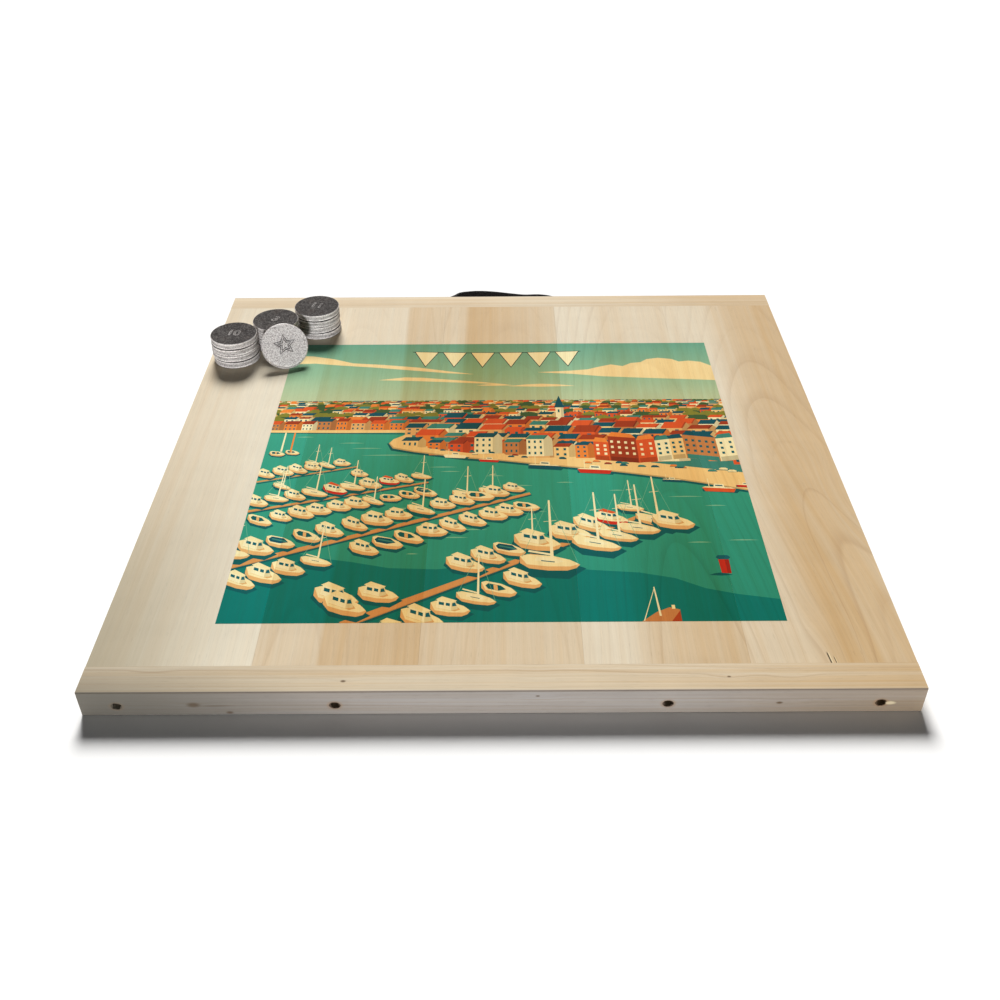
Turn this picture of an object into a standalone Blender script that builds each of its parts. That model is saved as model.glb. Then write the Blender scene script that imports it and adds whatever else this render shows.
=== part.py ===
"""Target board for the disc-throwing game of palets, with its set of thirteen cast-iron discs.

Five poplar planks with tongue-and-groove edges lie side by side between two cross battens,
each batten is held by four long screws driven through its outer edge, and a webbing carrying
handle is screwed to the rear edge. The discs lie on the board: three stacks, and one disc that
leans on the middle stack.

Frame: origin at the middle of the underside, +X to the thrower's right, +Y towards the rear
edge with the handle, +Z up. Metres.
"""

import math

import bmesh
import bpy
from mathutils import Matrix, Vector

# Board
SIDE = 0.700
THICKNESS = 0.027
PLANK_COUNT = 5
BATTEN_WIDTH = 0.030
ARRIS = 0.0004  # eased edge of a plank
BATTEN_ARRIS = 0.0008
GAP = 0.0003  # between pieces that touch

# Tongue and groove between the planks
TONGUE_HEIGHT = 0.008
TONGUE_DEPTH = 0.008
GROOVE_EXTRA = 0.0008  # glue room at the bottom of the groove

# Long screws through the battens
BATTEN_SCREW_X = (-0.319, -0.138, 0.138, 0.314)
BATTEN_SCREW_Z = 0.011
SCREW_LENGTH = 0.070
SCREW_HEAD_RADIUS = 0.0034
SCREW_SHANK_RADIUS = 0.0019
SCREW_CORE_RADIUS = 0.0015
SCREW_THREAD_RADIUS = 0.00225
SCREW_HEAD_DEPTH = 0.0065  # from the batten's outer face to the top of the head
COUNTERBORE_RADIUS = 0.0038
COUNTERBORE_DEPTH = 0.0105
BATTEN_HOLE_RADIUS = 0.0027
PILOT_RADIUS = 0.0026
THREAD_RINGS = 7

# Carrying handle
STRAP_WIDTH = 0.024
STRAP_THICKNESS = 0.0024
STRAP_Z = THICKNESS / 2
STRAP_STEPS = 5  # points between two route points
HANDLE_SCREW_X = (-0.076, 0.080)
HANDLE_SCREW_RADIUS = 0.0020
HANDLE_SCREW_LENGTH = 0.024
HANDLE_HEAD_RADIUS = 0.0042
HANDLE_HEAD_HEIGHT = 0.0026
WASHER_RADIUS = 0.0080
WASHER_HOLE_RADIUS = 0.0026
WASHER_THICKNESS = 0.0012
# Middle of the webbing, as (x, distance behind the rear face): slack stands out on the left.
STRAP_ROUTE = (
    (-0.0880, 0.0015),
    (-0.0760, 0.0015),
    (-0.0670, 0.0016),
    (-0.0600, 0.0070),
    (-0.0535, 0.0140),
    (-0.0420, 0.0175),
    (-0.0270, 0.0188),
    (-0.0080, 0.0166),
    (0.0130, 0.0115),
    (0.0320, 0.0075),
    (0.0500, 0.0080),
    (0.0620, 0.0056),
    (0.0710, 0.0018),
    (0.0800, 0.0015),
    (0.0920, 0.0015),
)

# Discs
DISC_RADIUS = 0.0275
DISC_THICKNESS = 0.008
DISC_CHAMFER = 0.0009
DISC_SIDES = 40
STACKS = {
    "left": ((-0.318, 0.194), 4),
    "middle": ((-0.273, 0.2285), 4),
    "right": ((-0.2275, 0.2625), 4),
}
STACK_WANDER = 0.0004  # how far a disc sits off its stack's axis
LEAN_SLOPE = math.radians(41)  # of the leaning disc, from the board
LEAN_HEADING = math.radians(20)  # of its face, from -Y towards +X

SCREW_SIDES = 12
HOLE_SIDES = 24

HALF = SIDE / 2
PLANK_PITCH = SIDE / PLANK_COUNT
PLANK_LENGTH = SIDE - 2 * BATTEN_WIDTH - 2 * GAP


def clear_scene():
    for obj in list(bpy.data.objects):
        bpy.data.objects.remove(obj)


def material(name, colour, roughness, metallic=0.0):
    made = bpy.data.materials.new(name)
    made.use_nodes = True
    shader = made.node_tree.nodes["Principled BSDF"]
    shader.inputs["Base Color"].default_value = (*colour, 1.0)
    shader.inputs["Roughness"].default_value = roughness
    shader.inputs["Metallic"].default_value = metallic
    return made


def add_object(name, bm, finish, matrix=None, smooth_angle=None):
    """A named object from a bmesh, with its faces pointing out."""
    bmesh.ops.recalc_face_normals(bm, faces=bm.faces)
    mesh = bpy.data.meshes.new(name)
    bm.to_mesh(mesh)
    bm.free()
    if finish is not None:
        mesh.materials.append(finish)
    if smooth_angle is not None:
        mesh.shade_smooth()
        mesh.set_sharp_from_angle(angle=smooth_angle)
    obj = bpy.data.objects.new(name, mesh)
    bpy.context.scene.collection.objects.link(obj)
    if matrix is not None:
        obj.matrix_world = matrix
    return obj


def extrude_outline(bm, outline, length, direction):
    """A prism: the outline's points are 3-D, and it runs for length along direction."""
    face = bm.faces.new([bm.verts.new(point) for point in outline])
    grown = bmesh.ops.extrude_face_region(bm, geom=[face])["geom"]
    moved = [item for item in grown if isinstance(item, bmesh.types.BMVert)]
    bmesh.ops.translate(bm, verts=moved, vec=Vector(direction) * length)


def turn_profile(bm, profile, sides, matrix):
    """A closed turned solid about local Z. The profile is (radius, z) from one pole to the other."""
    rings = []
    for radius, height in profile:
        if radius == 0:
            rings.append([bm.verts.new(matrix @ Vector((0, 0, height)))])
            continue
        ring = []
        for k in range(sides):
            angle = math.tau * k / sides
            point = Vector((radius * math.cos(angle), radius * math.sin(angle), height))
            ring.append(bm.verts.new(matrix @ point))
        rings.append(ring)
    for low, high in zip(rings, rings[1:]):
        for k in range(sides):
            after = (k + 1) % sides
            corners = [
                low[k % len(low)],
                low[after % len(low)],
                high[after % len(high)],
                high[k % len(high)],
            ]
            bm.faces.new(list(dict.fromkeys(corners)))


def turn_ring(bm, inner, outer, low, high, sides, matrix):
    """A flat ring about local Z, such as a washer."""
    section = ((inner, low), (outer, low), (outer, high), (inner, high))
    rings = []
    for radius, height in section:
        ring = []
        for k in range(sides):
            angle = math.tau * k / sides
            point = Vector((radius * math.cos(angle), radius * math.sin(angle), height))
            ring.append(bm.verts.new(matrix @ point))
        rings.append(ring)
    for here, there in zip(rings, rings[1:] + rings[:1]):
        for k in range(sides):
            after = (k + 1) % sides
            bm.faces.new((here[k], here[after], there[after], there[k]))


def into_edge(x, z, end):
    """Local Z along the screw's travel, from the outer face of the front (-1) or rear (+1) edge inwards."""
    turn = Matrix.Rotation(-math.pi / 2 if end < 0 else math.pi / 2, 4, "X")
    return Matrix.Translation((x, end * HALF, z)) @ turn


def cut(obj, cutter_mesh):
    """Cuts obj with a hidden helper."""
    cutter = add_object(obj.name + "_cutter", cutter_mesh, None)
    cutter.hide_render = True
    cutter.display_type = "WIRE"
    modifier = obj.modifiers.new("bores", "BOOLEAN")
    modifier.operation = "DIFFERENCE"
    modifier.object = cutter


# ---------------------------------------------------------------- board


def plank_outline(index):
    """Cross-section in X and Z, with a groove on the left edge and a tongue on the right one."""
    first, last = index == 0, index == PLANK_COUNT - 1
    left = -HALF + index * PLANK_PITCH + (0 if first else GAP / 2)
    right = -HALF + (index + 1) * PLANK_PITCH - (0 if last else GAP / 2)
    middle = THICKNESS / 2
    half_tongue = TONGUE_HEIGHT / 2
    half_groove = half_tongue + GAP
    groove = left + TONGUE_DEPTH + GROOVE_EXTRA
    points = [(left + ARRIS, 0), (right - ARRIS, 0), (right, ARRIS)]
    if not last:
        points += [
            (right, middle - half_tongue),
            (right + TONGUE_DEPTH, middle - half_tongue),
            (right + TONGUE_DEPTH, middle + half_tongue),
            (right, middle + half_tongue),
        ]
    points += [
        (right, THICKNESS - ARRIS),
        (right - ARRIS, THICKNESS),
        (left + ARRIS, THICKNESS),
        (left, THICKNESS - ARRIS),
    ]
    if not first:
        points += [
            (left, middle + half_groove),
            (groove, middle + half_groove),
            (groove, middle - half_groove),
            (left, middle - half_groove),
        ]
    points.append((left, ARRIS))
    return points


def make_planks(finish):
    for index in range(PLANK_COUNT):
        start = -PLANK_LENGTH / 2
        outline = [(x, start, z) for x, z in plank_outline(index)]
        bm = bmesh.new()
        extrude_outline(bm, outline, PLANK_LENGTH, (0, 1, 0))
        plank = add_object(f"plank_{index + 1}", bm, finish)

        low = -HALF + index * PLANK_PITCH
        held_at = [x for x in BATTEN_SCREW_X if low < x < low + PLANK_PITCH]
        if not held_at:
            continue
        bores = bmesh.new()
        deepest = SCREW_HEAD_DEPTH + SCREW_LENGTH + 0.002
        for x in held_at:
            for end in (-1, 1):
                shape = (
                    (0, BATTEN_WIDTH - 0.004),
                    (PILOT_RADIUS, BATTEN_WIDTH - 0.004),
                    (PILOT_RADIUS, deepest),
                    (0, deepest + PILOT_RADIUS),
                )
                turn_profile(bores, shape, HOLE_SIDES, into_edge(x, BATTEN_SCREW_Z, end))
        cut(plank, bores)


def make_batten(name, end, finish):
    """A cross batten with its counterbored screw holes. The rear one also holds the handle's screws."""
    bm = bmesh.new()
    bmesh.ops.create_cube(bm, size=1)
    size = Matrix.Diagonal((SIDE, BATTEN_WIDTH, THICKNESS, 1))
    place = Matrix.Translation((0, end * (HALF - BATTEN_WIDTH / 2), THICKNESS / 2))
    bm.transform(place @ size)
    bmesh.ops.bevel(
        bm, geom=list(bm.edges), offset=BATTEN_ARRIS, segments=1, affect="EDGES"
    )
    batten = add_object(name, bm, finish)

    bores = bmesh.new()
    beyond = 0.004
    for x in BATTEN_SCREW_X:
        shape = (
            (0, -beyond),
            (COUNTERBORE_RADIUS, -beyond),
            (COUNTERBORE_RADIUS, COUNTERBORE_DEPTH),
            (BATTEN_HOLE_RADIUS, COUNTERBORE_DEPTH),
            (BATTEN_HOLE_RADIUS, BATTEN_WIDTH + beyond),
            (0, BATTEN_WIDTH + beyond),
        )
        turn_profile(bores, shape, HOLE_SIDES, into_edge(x, BATTEN_SCREW_Z, end))
    if end > 0:
        radius = HANDLE_SCREW_RADIUS + GAP
        for x in HANDLE_SCREW_X:
            shape = ((0, -beyond), (radius, -beyond), (radius, 0.0215), (0, 0.0235))
            turn_profile(bores, shape, HOLE_SIDES, into_edge(x, STRAP_Z, end))
    cut(batten, bores)


def wood_screw_profile():
    """Countersunk head, plain shank, and a coarse thread drawn as rings."""
    thread_start = 0.026
    thread_end = SCREW_LENGTH - 0.006
    pitch = (thread_end - thread_start) / THREAD_RINGS
    profile = [
        (0, 0),
        (SCREW_HEAD_RADIUS, 0),
        (SCREW_HEAD_RADIUS, 0.0005),
        (SCREW_SHANK_RADIUS, 0.0031),
        (SCREW_SHANK_RADIUS, thread_start),
    ]
    for ring in range(THREAD_RINGS):
        foot = thread_start + ring * pitch
        profile += [
            (SCREW_CORE_RADIUS, foot + 0.35 * pitch),
            (SCREW_THREAD_RADIUS, foot + 0.68 * pitch),
            (SCREW_CORE_RADIUS, foot + pitch),
        ]
    return profile + [(0, SCREW_LENGTH)]


def make_batten_screws(finish):
    for name, end in (("front", -1), ("rear", 1)):
        for number, x in enumerate(BATTEN_SCREW_X, 1):
            bm = bmesh.new()
            seat = Matrix.Translation((0, 0, SCREW_HEAD_DEPTH))
            place = into_edge(x, BATTEN_SCREW_Z, end) @ seat
            turn_profile(bm, wood_screw_profile(), SCREW_SIDES, Matrix.Identity(4))
            add_object(
                f"{name}_batten_screw_{number}",
                bm,
                finish,
                matrix=place,
                smooth_angle=math.radians(35),
            )


# ---------------------------------------------------------------- handle


def smooth_through(points, steps):
    """A Catmull-Rom curve through the points."""
    line = [Vector(point) for point in points]
    padded = [2 * line[0] - line[1], *line, 2 * line[-1] - line[-2]]
    curve = []
    for a, b, c, d in zip(padded, padded[1:], padded[2:], padded[3:]):
        for k in range(steps):
            t = k / steps
            curve.append(
                0.5
                * (
                    2 * b
                    + (c - a) * t
                    + (2 * a - 5 * b + 4 * c - d) * t**2
                    + (3 * b - a - 3 * c + d) * t**3
                )
            )
    return curve + [line[-1]]


def strap_outline():
    """Both faces of the webbing in plan, as one loop, from the middle of the rear face."""
    middle = smooth_through(STRAP_ROUTE, STRAP_STEPS)
    for point in middle:
        point.y = max(point.y, STRAP_THICKNESS / 2 + GAP)
    near, far = [], []
    for k, point in enumerate(middle):
        along = (middle[min(k + 1, len(middle) - 1)] - middle[max(k - 1, 0)]).normalized()
        out = Vector((-along.y, along.x)) * STRAP_THICKNESS / 2
        near.append(point - out)
        far.append(point + out)
    loop = near + far[::-1]
    return [(x, y, -STRAP_WIDTH / 2) for x, y in loop]


def make_strap(finish):
    bm = bmesh.new()
    extrude_outline(bm, strap_outline(), STRAP_WIDTH, (0, 0, 1))
    strap = add_object(
        "handle_strap",
        bm,
        finish,
        matrix=Matrix.Translation((0, HALF, STRAP_Z)),
        smooth_angle=math.radians(40),
    )
    holes = bmesh.new()
    for x in HANDLE_SCREW_X:
        shape = (
            (0, -0.006),
            (WASHER_HOLE_RADIUS, -0.006),
            (WASHER_HOLE_RADIUS, 0.006),
            (0, 0.006),
        )
        turn_profile(holes, shape, HOLE_SIDES, into_edge(x, STRAP_Z, 1))
    cut(strap, holes)


def make_handle_fixings(screw_finish, washer_finish):
    strap_face = 0.0015 + STRAP_THICKNESS / 2
    washer_low = strap_face + GAP
    washer_high = washer_low + WASHER_THICKNESS
    head_low = washer_high + GAP
    head_high = head_low + HANDLE_HEAD_HEIGHT
    tip = head_low - HANDLE_SCREW_LENGTH
    screw = (
        (0, -head_high),
        (0.55 * HANDLE_HEAD_RADIUS, -head_high),
        (0.86 * HANDLE_HEAD_RADIUS, -head_low - 0.7 * HANDLE_HEAD_HEIGHT),
        (HANDLE_HEAD_RADIUS, -head_low - 0.25 * HANDLE_HEAD_HEIGHT),
        (HANDLE_HEAD_RADIUS, -head_low),
        (HANDLE_SCREW_RADIUS, -head_low),
        (HANDLE_SCREW_RADIUS, -tip - 0.004),
        (0, -tip),
    )
    for side, x in zip(("left", "right"), HANDLE_SCREW_X):
        place = into_edge(x, STRAP_Z, 1)
        bm = bmesh.new()
        turn_profile(bm, screw, SCREW_SIDES * 2, Matrix.Identity(4))
        add_object(
            f"handle_screw_{side}",
            bm,
            screw_finish,
            matrix=place,
            smooth_angle=math.radians(35),
        )
        bm = bmesh.new()
        turn_ring(
            bm,
            WASHER_HOLE_RADIUS,
            WASHER_RADIUS,
            -washer_high,
            -washer_low,
            SCREW_SIDES * 2,
            Matrix.Identity(4),
        )
        add_object(
            f"handle_washer_{side}",
            bm,
            washer_finish,
            matrix=place,
            smooth_angle=math.radians(35),
        )


# ---------------------------------------------------------------- discs


def disc_mesh(finish):
    """One cast disc about local Z, with its middle at the origin. All discs share it."""
    half = DISC_THICKNESS / 2
    profile = (
        (0, -half),
        (DISC_RADIUS - DISC_CHAMFER, -half),
        (DISC_RADIUS, -half + DISC_CHAMFER),
        (DISC_RADIUS, half - DISC_CHAMFER),
        (DISC_RADIUS - DISC_CHAMFER, half),
        (0, half),
    )
    bm = bmesh.new()
    turn_profile(bm, profile, DISC_SIDES, Matrix.Identity(4))
    bmesh.ops.recalc_face_normals(bm, faces=bm.faces)
    mesh = bpy.data.meshes.new("disc")
    bm.to_mesh(mesh)
    bm.free()
    mesh.materials.append(finish)
    mesh.shade_smooth()
    mesh.set_sharp_from_angle(angle=math.radians(30))
    return mesh


def place_disc(name, mesh, matrix):
    disc = bpy.data.objects.new(name, mesh)
    bpy.context.scene.collection.objects.link(disc)
    disc.matrix_world = matrix


def disc_height(level):
    """Height of a disc's middle at a level of a stack, counted from 0."""
    return THICKNESS + GAP + DISC_THICKNESS / 2 + level * (DISC_THICKNESS + GAP)


def leaning_matrix():
    """The disc's back rim stands on the board, and its back face rests on the middle stack's rim."""
    (x, y), count = STACKS["middle"]
    heading = Vector((math.sin(LEAN_HEADING), -math.cos(LEAN_HEADING), 0))
    normal = heading * math.sin(LEAN_SLOPE) + Vector((0, 0, math.cos(LEAN_SLOPE)))
    uphill = Vector((0, 0, math.sin(LEAN_SLOPE))) - heading * math.cos(LEAN_SLOPE)
    foot_z = THICKNESS + GAP
    stack_top = disc_height(count - 1) + DISC_THICKNESS / 2
    reach = DISC_RADIUS + STACK_WANDER
    reach += ((stack_top - foot_z) * math.cos(LEAN_SLOPE) + GAP) / math.sin(LEAN_SLOPE)
    foot = Vector((x, y, foot_z)) + heading * reach
    middle = foot + uphill * DISC_RADIUS + normal * DISC_THICKNESS / 2
    across = uphill.cross(normal)
    turn = Matrix((across, uphill, normal)).transposed().to_4x4()
    return Matrix.Translation(middle) @ turn


def make_discs(finish):
    mesh = disc_mesh(finish)
    golden_angle = math.radians(137.5)
    count_so_far = 0
    for stack, ((x, y), count) in STACKS.items():
        for level in range(count):
            angle = golden_angle * count_so_far
            shift = Vector((math.cos(angle), math.sin(angle), 0)) * STACK_WANDER
            middle = Vector((x, y, disc_height(level))) + shift
            place = Matrix.Translation(middle)
            place_disc(f"disc_{stack}_{level + 1}", mesh, place)
            count_so_far += 1
    place_disc("disc_leaning", mesh, leaning_matrix())


def main():
    clear_scene()
    planks = material("poplar_plank", (0.68, 0.55, 0.37), 0.55)
    battens = material("poplar_batten", (0.66, 0.54, 0.38), 0.55)
    zinc = material("zinc_screw", (0.62, 0.60, 0.52), 0.35, 1.0)
    black_steel = material("black_steel", (0.03, 0.03, 0.035), 0.40, 0.8)
    webbing = material("black_webbing", (0.012, 0.012, 0.014), 0.75)
    iron = material("cast_iron", (0.20, 0.19, 0.19), 0.50, 0.8)

    make_planks(planks)
    make_batten("front_batten", -1, battens)
    make_batten("rear_batten", 1, battens)
    make_batten_screws(zinc)
    make_strap(webbing)
    make_handle_fixings(black_steel, black_steel)
    make_discs(iron)


main()
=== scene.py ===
"""Looks of the palet throwing board: poplar planks with a printed harbour, iron discs, webbing handle."""

import math
import random

import bmesh
import bpy
from mathutils import Matrix, Vector, noise
from mathutils.geometry import delaunay_2d_cdt


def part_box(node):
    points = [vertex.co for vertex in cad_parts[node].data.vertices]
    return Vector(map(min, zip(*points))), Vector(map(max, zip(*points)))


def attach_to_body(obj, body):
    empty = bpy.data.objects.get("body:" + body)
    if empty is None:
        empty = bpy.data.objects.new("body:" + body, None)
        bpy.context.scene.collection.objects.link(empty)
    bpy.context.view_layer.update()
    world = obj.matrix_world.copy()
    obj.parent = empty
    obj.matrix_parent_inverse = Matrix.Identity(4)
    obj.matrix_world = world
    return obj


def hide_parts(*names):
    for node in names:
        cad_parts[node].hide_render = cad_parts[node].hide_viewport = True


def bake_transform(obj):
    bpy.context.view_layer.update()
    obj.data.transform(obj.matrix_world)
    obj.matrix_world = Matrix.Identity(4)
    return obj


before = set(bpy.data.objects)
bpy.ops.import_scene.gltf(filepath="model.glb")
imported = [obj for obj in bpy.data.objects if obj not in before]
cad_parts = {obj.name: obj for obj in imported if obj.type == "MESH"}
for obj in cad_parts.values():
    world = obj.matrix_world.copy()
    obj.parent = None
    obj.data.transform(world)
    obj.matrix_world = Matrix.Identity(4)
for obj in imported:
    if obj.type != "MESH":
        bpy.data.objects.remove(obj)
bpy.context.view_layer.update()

MM = 0.001
BOARD_LOW, BOARD_HIGH = (Vector(corner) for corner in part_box("front_batten"))
REAR_HIGH = Vector(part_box("rear_batten")[1])
LEFT, RIGHT = BOARD_LOW.x, BOARD_HIGH.x
FRONT, REAR = BOARD_LOW.y, REAR_HIGH.y
TOP = BOARD_HIGH.z
PLANKS = 5
PLANK_WIDTH = (RIGHT - LEFT) / PLANKS
BATTEN_WIDTH = BOARD_HIGH.y - BOARD_LOW.y
SCREW_X = (-0.319, -0.138, 0.138, 0.314)
SCREW_Z = 0.011


# ---------------------------------------------------------------- shader helpers


def rgb(red, green, blue):
    """A colour given on the 0 to 255 display scale."""

    def linear(value):
        value = value / 255
        return value / 12.92 if value <= 0.04045 else ((value + 0.055) / 1.055) ** 2.4

    return (linear(red), linear(green), linear(blue), 1.0)


def grey(value):
    return (value, value, value, 1)


class Value:
    """A node's output that can be reckoned with like a number."""

    def __init__(self, graph, socket):
        self.graph = graph
        self.socket = socket

    def __add__(self, other):
        return self.graph.math("ADD", self, other)

    def __sub__(self, other):
        return self.graph.math("SUBTRACT", self, other)

    def __rsub__(self, other):
        return self.graph.math("SUBTRACT", other, self)

    def __mul__(self, other):
        return self.graph.math("MULTIPLY", self, other)

    def __truediv__(self, other):
        return self.graph.math("DIVIDE", self, other)

    def __abs__(self):
        return self.graph.math("ABSOLUTE", self)

    __radd__ = __add__
    __rmul__ = __mul__

    def wave(self, amount, middle=0.5):
        """The value less its middle, times amount."""
        return (self - middle) * amount

    def held(self, low, high):
        return self.graph.math("MINIMUM", self.graph.math("MAXIMUM", self, low), high)

    def span(self, low, high, to_low=0.0, to_high=1.0):
        """The value's place between low and high, smoothed and held at the ends."""
        inputs = {0: self, 1: low, 2: high, 3: to_low, 4: to_high}
        return self.graph.value("MapRange", inputs, interpolation_type="SMOOTHSTEP")

    def profile(self, stops):
        """The height, at this value, of a line through (place, height) pairs."""
        made = self.graph.node("ValToRGB", {0: self})
        elements = made.color_ramp.elements
        for element, (place, height) in zip(elements, (stops[0], stops[-1])):
            element.position, element.color = place, grey(height)
        for place, height in stops[1:-1]:
            elements.new(place).color = grey(height)
        return Value(self.graph, made.outputs[0])


class Graph:
    """Short calls for building one material's node tree; place is the object's x, y and z in metres."""

    def __init__(self, name):
        self.material = bpy.data.materials.new(name)
        self.material.use_nodes = True
        self.tree = self.material.node_tree
        self.shader = self.tree.nodes["Principled BSDF"]
        split = self.node("SeparateXYZ", {0: self.value("TexCoord", output="Object")})
        self.place = [Value(self, socket) for socket in split.outputs]

    def feed(self, socket, value):
        if isinstance(value, Value):
            self.tree.links.new(value.socket, socket)
        else:
            socket.default_value = value

    def node(self, kind, inputs=None, **settings):
        made = self.tree.nodes.new("ShaderNode" + kind)
        for key, value in settings.items():
            setattr(made, key, value)
        for key, value in (inputs or {}).items():
            self.feed(made.inputs[key], value)
        return made

    def value(self, kind, inputs=None, output=0, **settings):
        return Value(self, self.node(kind, inputs, **settings).outputs[output])

    def math(self, operation, a, b=0.0, clamp=False):
        return self.value("Math", {0: a, 1: b}, operation=operation, use_clamp=clamp)

    def mix(self, factor, a, b, blend="MIX"):
        return self.value("Mix", {0: factor, 6: a, 7: b}, 2, data_type="RGBA", blend_type=blend)

    def painted(self, colour, *layers):
        """The colour with each (amount, tint) laid over it in turn."""
        for amount, tint in layers:
            colour = self.mix(amount, colour, tint)
        return colour

    def lit(self, colour, light):
        """The colour times a grey light."""
        return self.mix(1.0, colour, self.value("CombineXYZ", {0: light, 1: light, 2: light}), "MULTIPLY")

    def noise(self, x, y, z, detail=2.0, roughness=0.5):
        vector = self.value("CombineXYZ", {0: x, 1: y, 2: z})
        inputs = {"Vector": vector, "Scale": 1.0, "Detail": detail, "Roughness": roughness}
        return self.value("TexNoise", inputs)

    def distance(self, x, y, spot, stretch):
        """Distance from a spot, with each direction stretched."""
        dx = (x - spot[0]) * stretch[0]
        dy = (y - spot[1]) * stretch[1]
        return self.math("SQRT", dx * dx + dy * dy)

    def attribute(self, name, output="Fac"):
        return self.value("Attribute", output=output, attribute_name=name)

    def finish(self, colour, roughness, specular, relief, depth, strength):
        """Feeds the shader, with the relief as a bump that is depth metres deep."""
        inputs = self.shader.inputs
        self.feed(inputs["Base Color"], colour)
        self.feed(inputs["Roughness"], roughness)
        self.feed(inputs["Specular IOR Level"], specular)
        bump = self.value("Bump", {"Height": relief, "Distance": depth, "Strength": strength})
        self.feed(inputs["Normal"], bump)
        return self.material


# ---------------------------------------------------------------- poplar

CREAM = rgb(228, 218, 196)
TAN = rgb(194, 156, 102)
RING = rgb(150, 108, 62)
KNOT = rgb(84, 60, 36)
CRACK = rgb(40, 28, 16)
HOLE_SHADE = rgb(48, 32, 18)
PALE_WOOD = rgb(236, 220, 178)
EXPOSURE = 1.15  # the light on the board's top, which the display colours are divided by
WOOD_SPECULAR = 0.12
# Tone across the board near the front and near the rear, as (place in planks, 0 cream to 1 tan).
FRONT_TONE = (
    (0.00, 0.34), (0.30, 0.22), (0.60, 0.10), (0.99, 0.00),
    (1.01, 0.44), (1.36, 0.42), (1.40, 0.68), (1.99, 0.78),
    (2.01, 0.56), (2.50, 0.52), (2.99, 0.44),
    (3.01, 0.20), (3.25, 0.20), (3.45, 0.55), (3.99, 0.72),
    (4.01, 0.42), (4.35, 0.46), (4.60, 0.86), (5.00, 0.66),
)
REAR_TONE = (
    (0.00, 0.26), (0.35, 0.10), (0.60, 0.02), (0.99, 0.00),
    (1.01, 0.28), (1.66, 0.22), (1.70, 0.60), (1.99, 0.52),
    (2.01, 0.48), (2.18, 0.50), (2.22, 0.86), (2.60, 0.66), (2.99, 0.46),
    (3.01, 0.12), (3.30, 0.14), (3.45, 0.40), (3.75, 0.26), (3.99, 0.34),
    (4.01, 0.26), (4.35, 0.24), (4.60, 0.64), (5.00, 0.80),
)
# For planks 1 to 5 at sixths: where the pith lies across the plank, and how strongly its rings show.
PITH = ((0.16, 0.9), (0.17, 0.9), (0.34, 0.2), (0.5, 0.62), (0.67, 0.75), (0.84, 0.66))
RING_STRENGTH = ((0.16, 0.12), (0.17, 0.12), (0.34, 0.55), (0.5, 0.55), (0.67, 0.70), (0.84, 0.95))
# Drying cracks at the front end of the last plank, as (x, the y where it ends, width).
CRACKS = ((0.2776, -0.3060, 0.0009), (0.2818, -0.3110, 0.0005))


def grain(graph, across, along, depth, seed, heart, spread, slope):
    """Figure of one board: drift, streak, ring, fibre, pore and shimmer.

    heart is how far below the face the pith lies, and spread is the rings' pitch, both in metres;
    slope is how fast the pith sinks along the board.
    """
    jump = seed * 7.31
    drift = graph.noise(across * 9, along * 2.4, jump).wave(0.030)
    streak = graph.noise(across * 130 + jump, along * 1.9, depth * 40, detail=3)
    fibre = graph.noise(across * 950 + jump, along * 14, depth * 500, detail=3, roughness=0.6)
    pore = graph.noise(across * 1500 + jump, along * 95, depth * 800, detail=1)
    shimmer = graph.noise(across * 14 + jump, along * 34, depth * 14)
    side = across + drift
    below = depth + heart + along * slope
    count = graph.math("SQRT", side * side + below * below) / spread
    turn = graph.math("FRACT", count)
    ring = 1.0 - turn.span(0.0, 0.34) + turn.span(0.90, 1.0)
    strength = graph.noise(graph.math("FLOOR", count), along * 1.2, jump)
    return drift, streak, ring * strength.span(0.35, 0.75), fibre, pore, shimmer


def poplar_colour(graph, tone, streak, ring, fibre, pore, shimmer):
    tone = graph.math("ADD", tone, streak.wave(0.46), clamp=True)
    colour = graph.painted(CREAM, (tone, TAN), (ring * 0.30, RING))
    light = 1 / EXPOSURE + fibre.wave(0.20) + streak.wave(0.06) + shimmer.wave(0.09)
    return graph.lit(colour, light - pore.span(0.62, 0.74) * 0.07)


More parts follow.
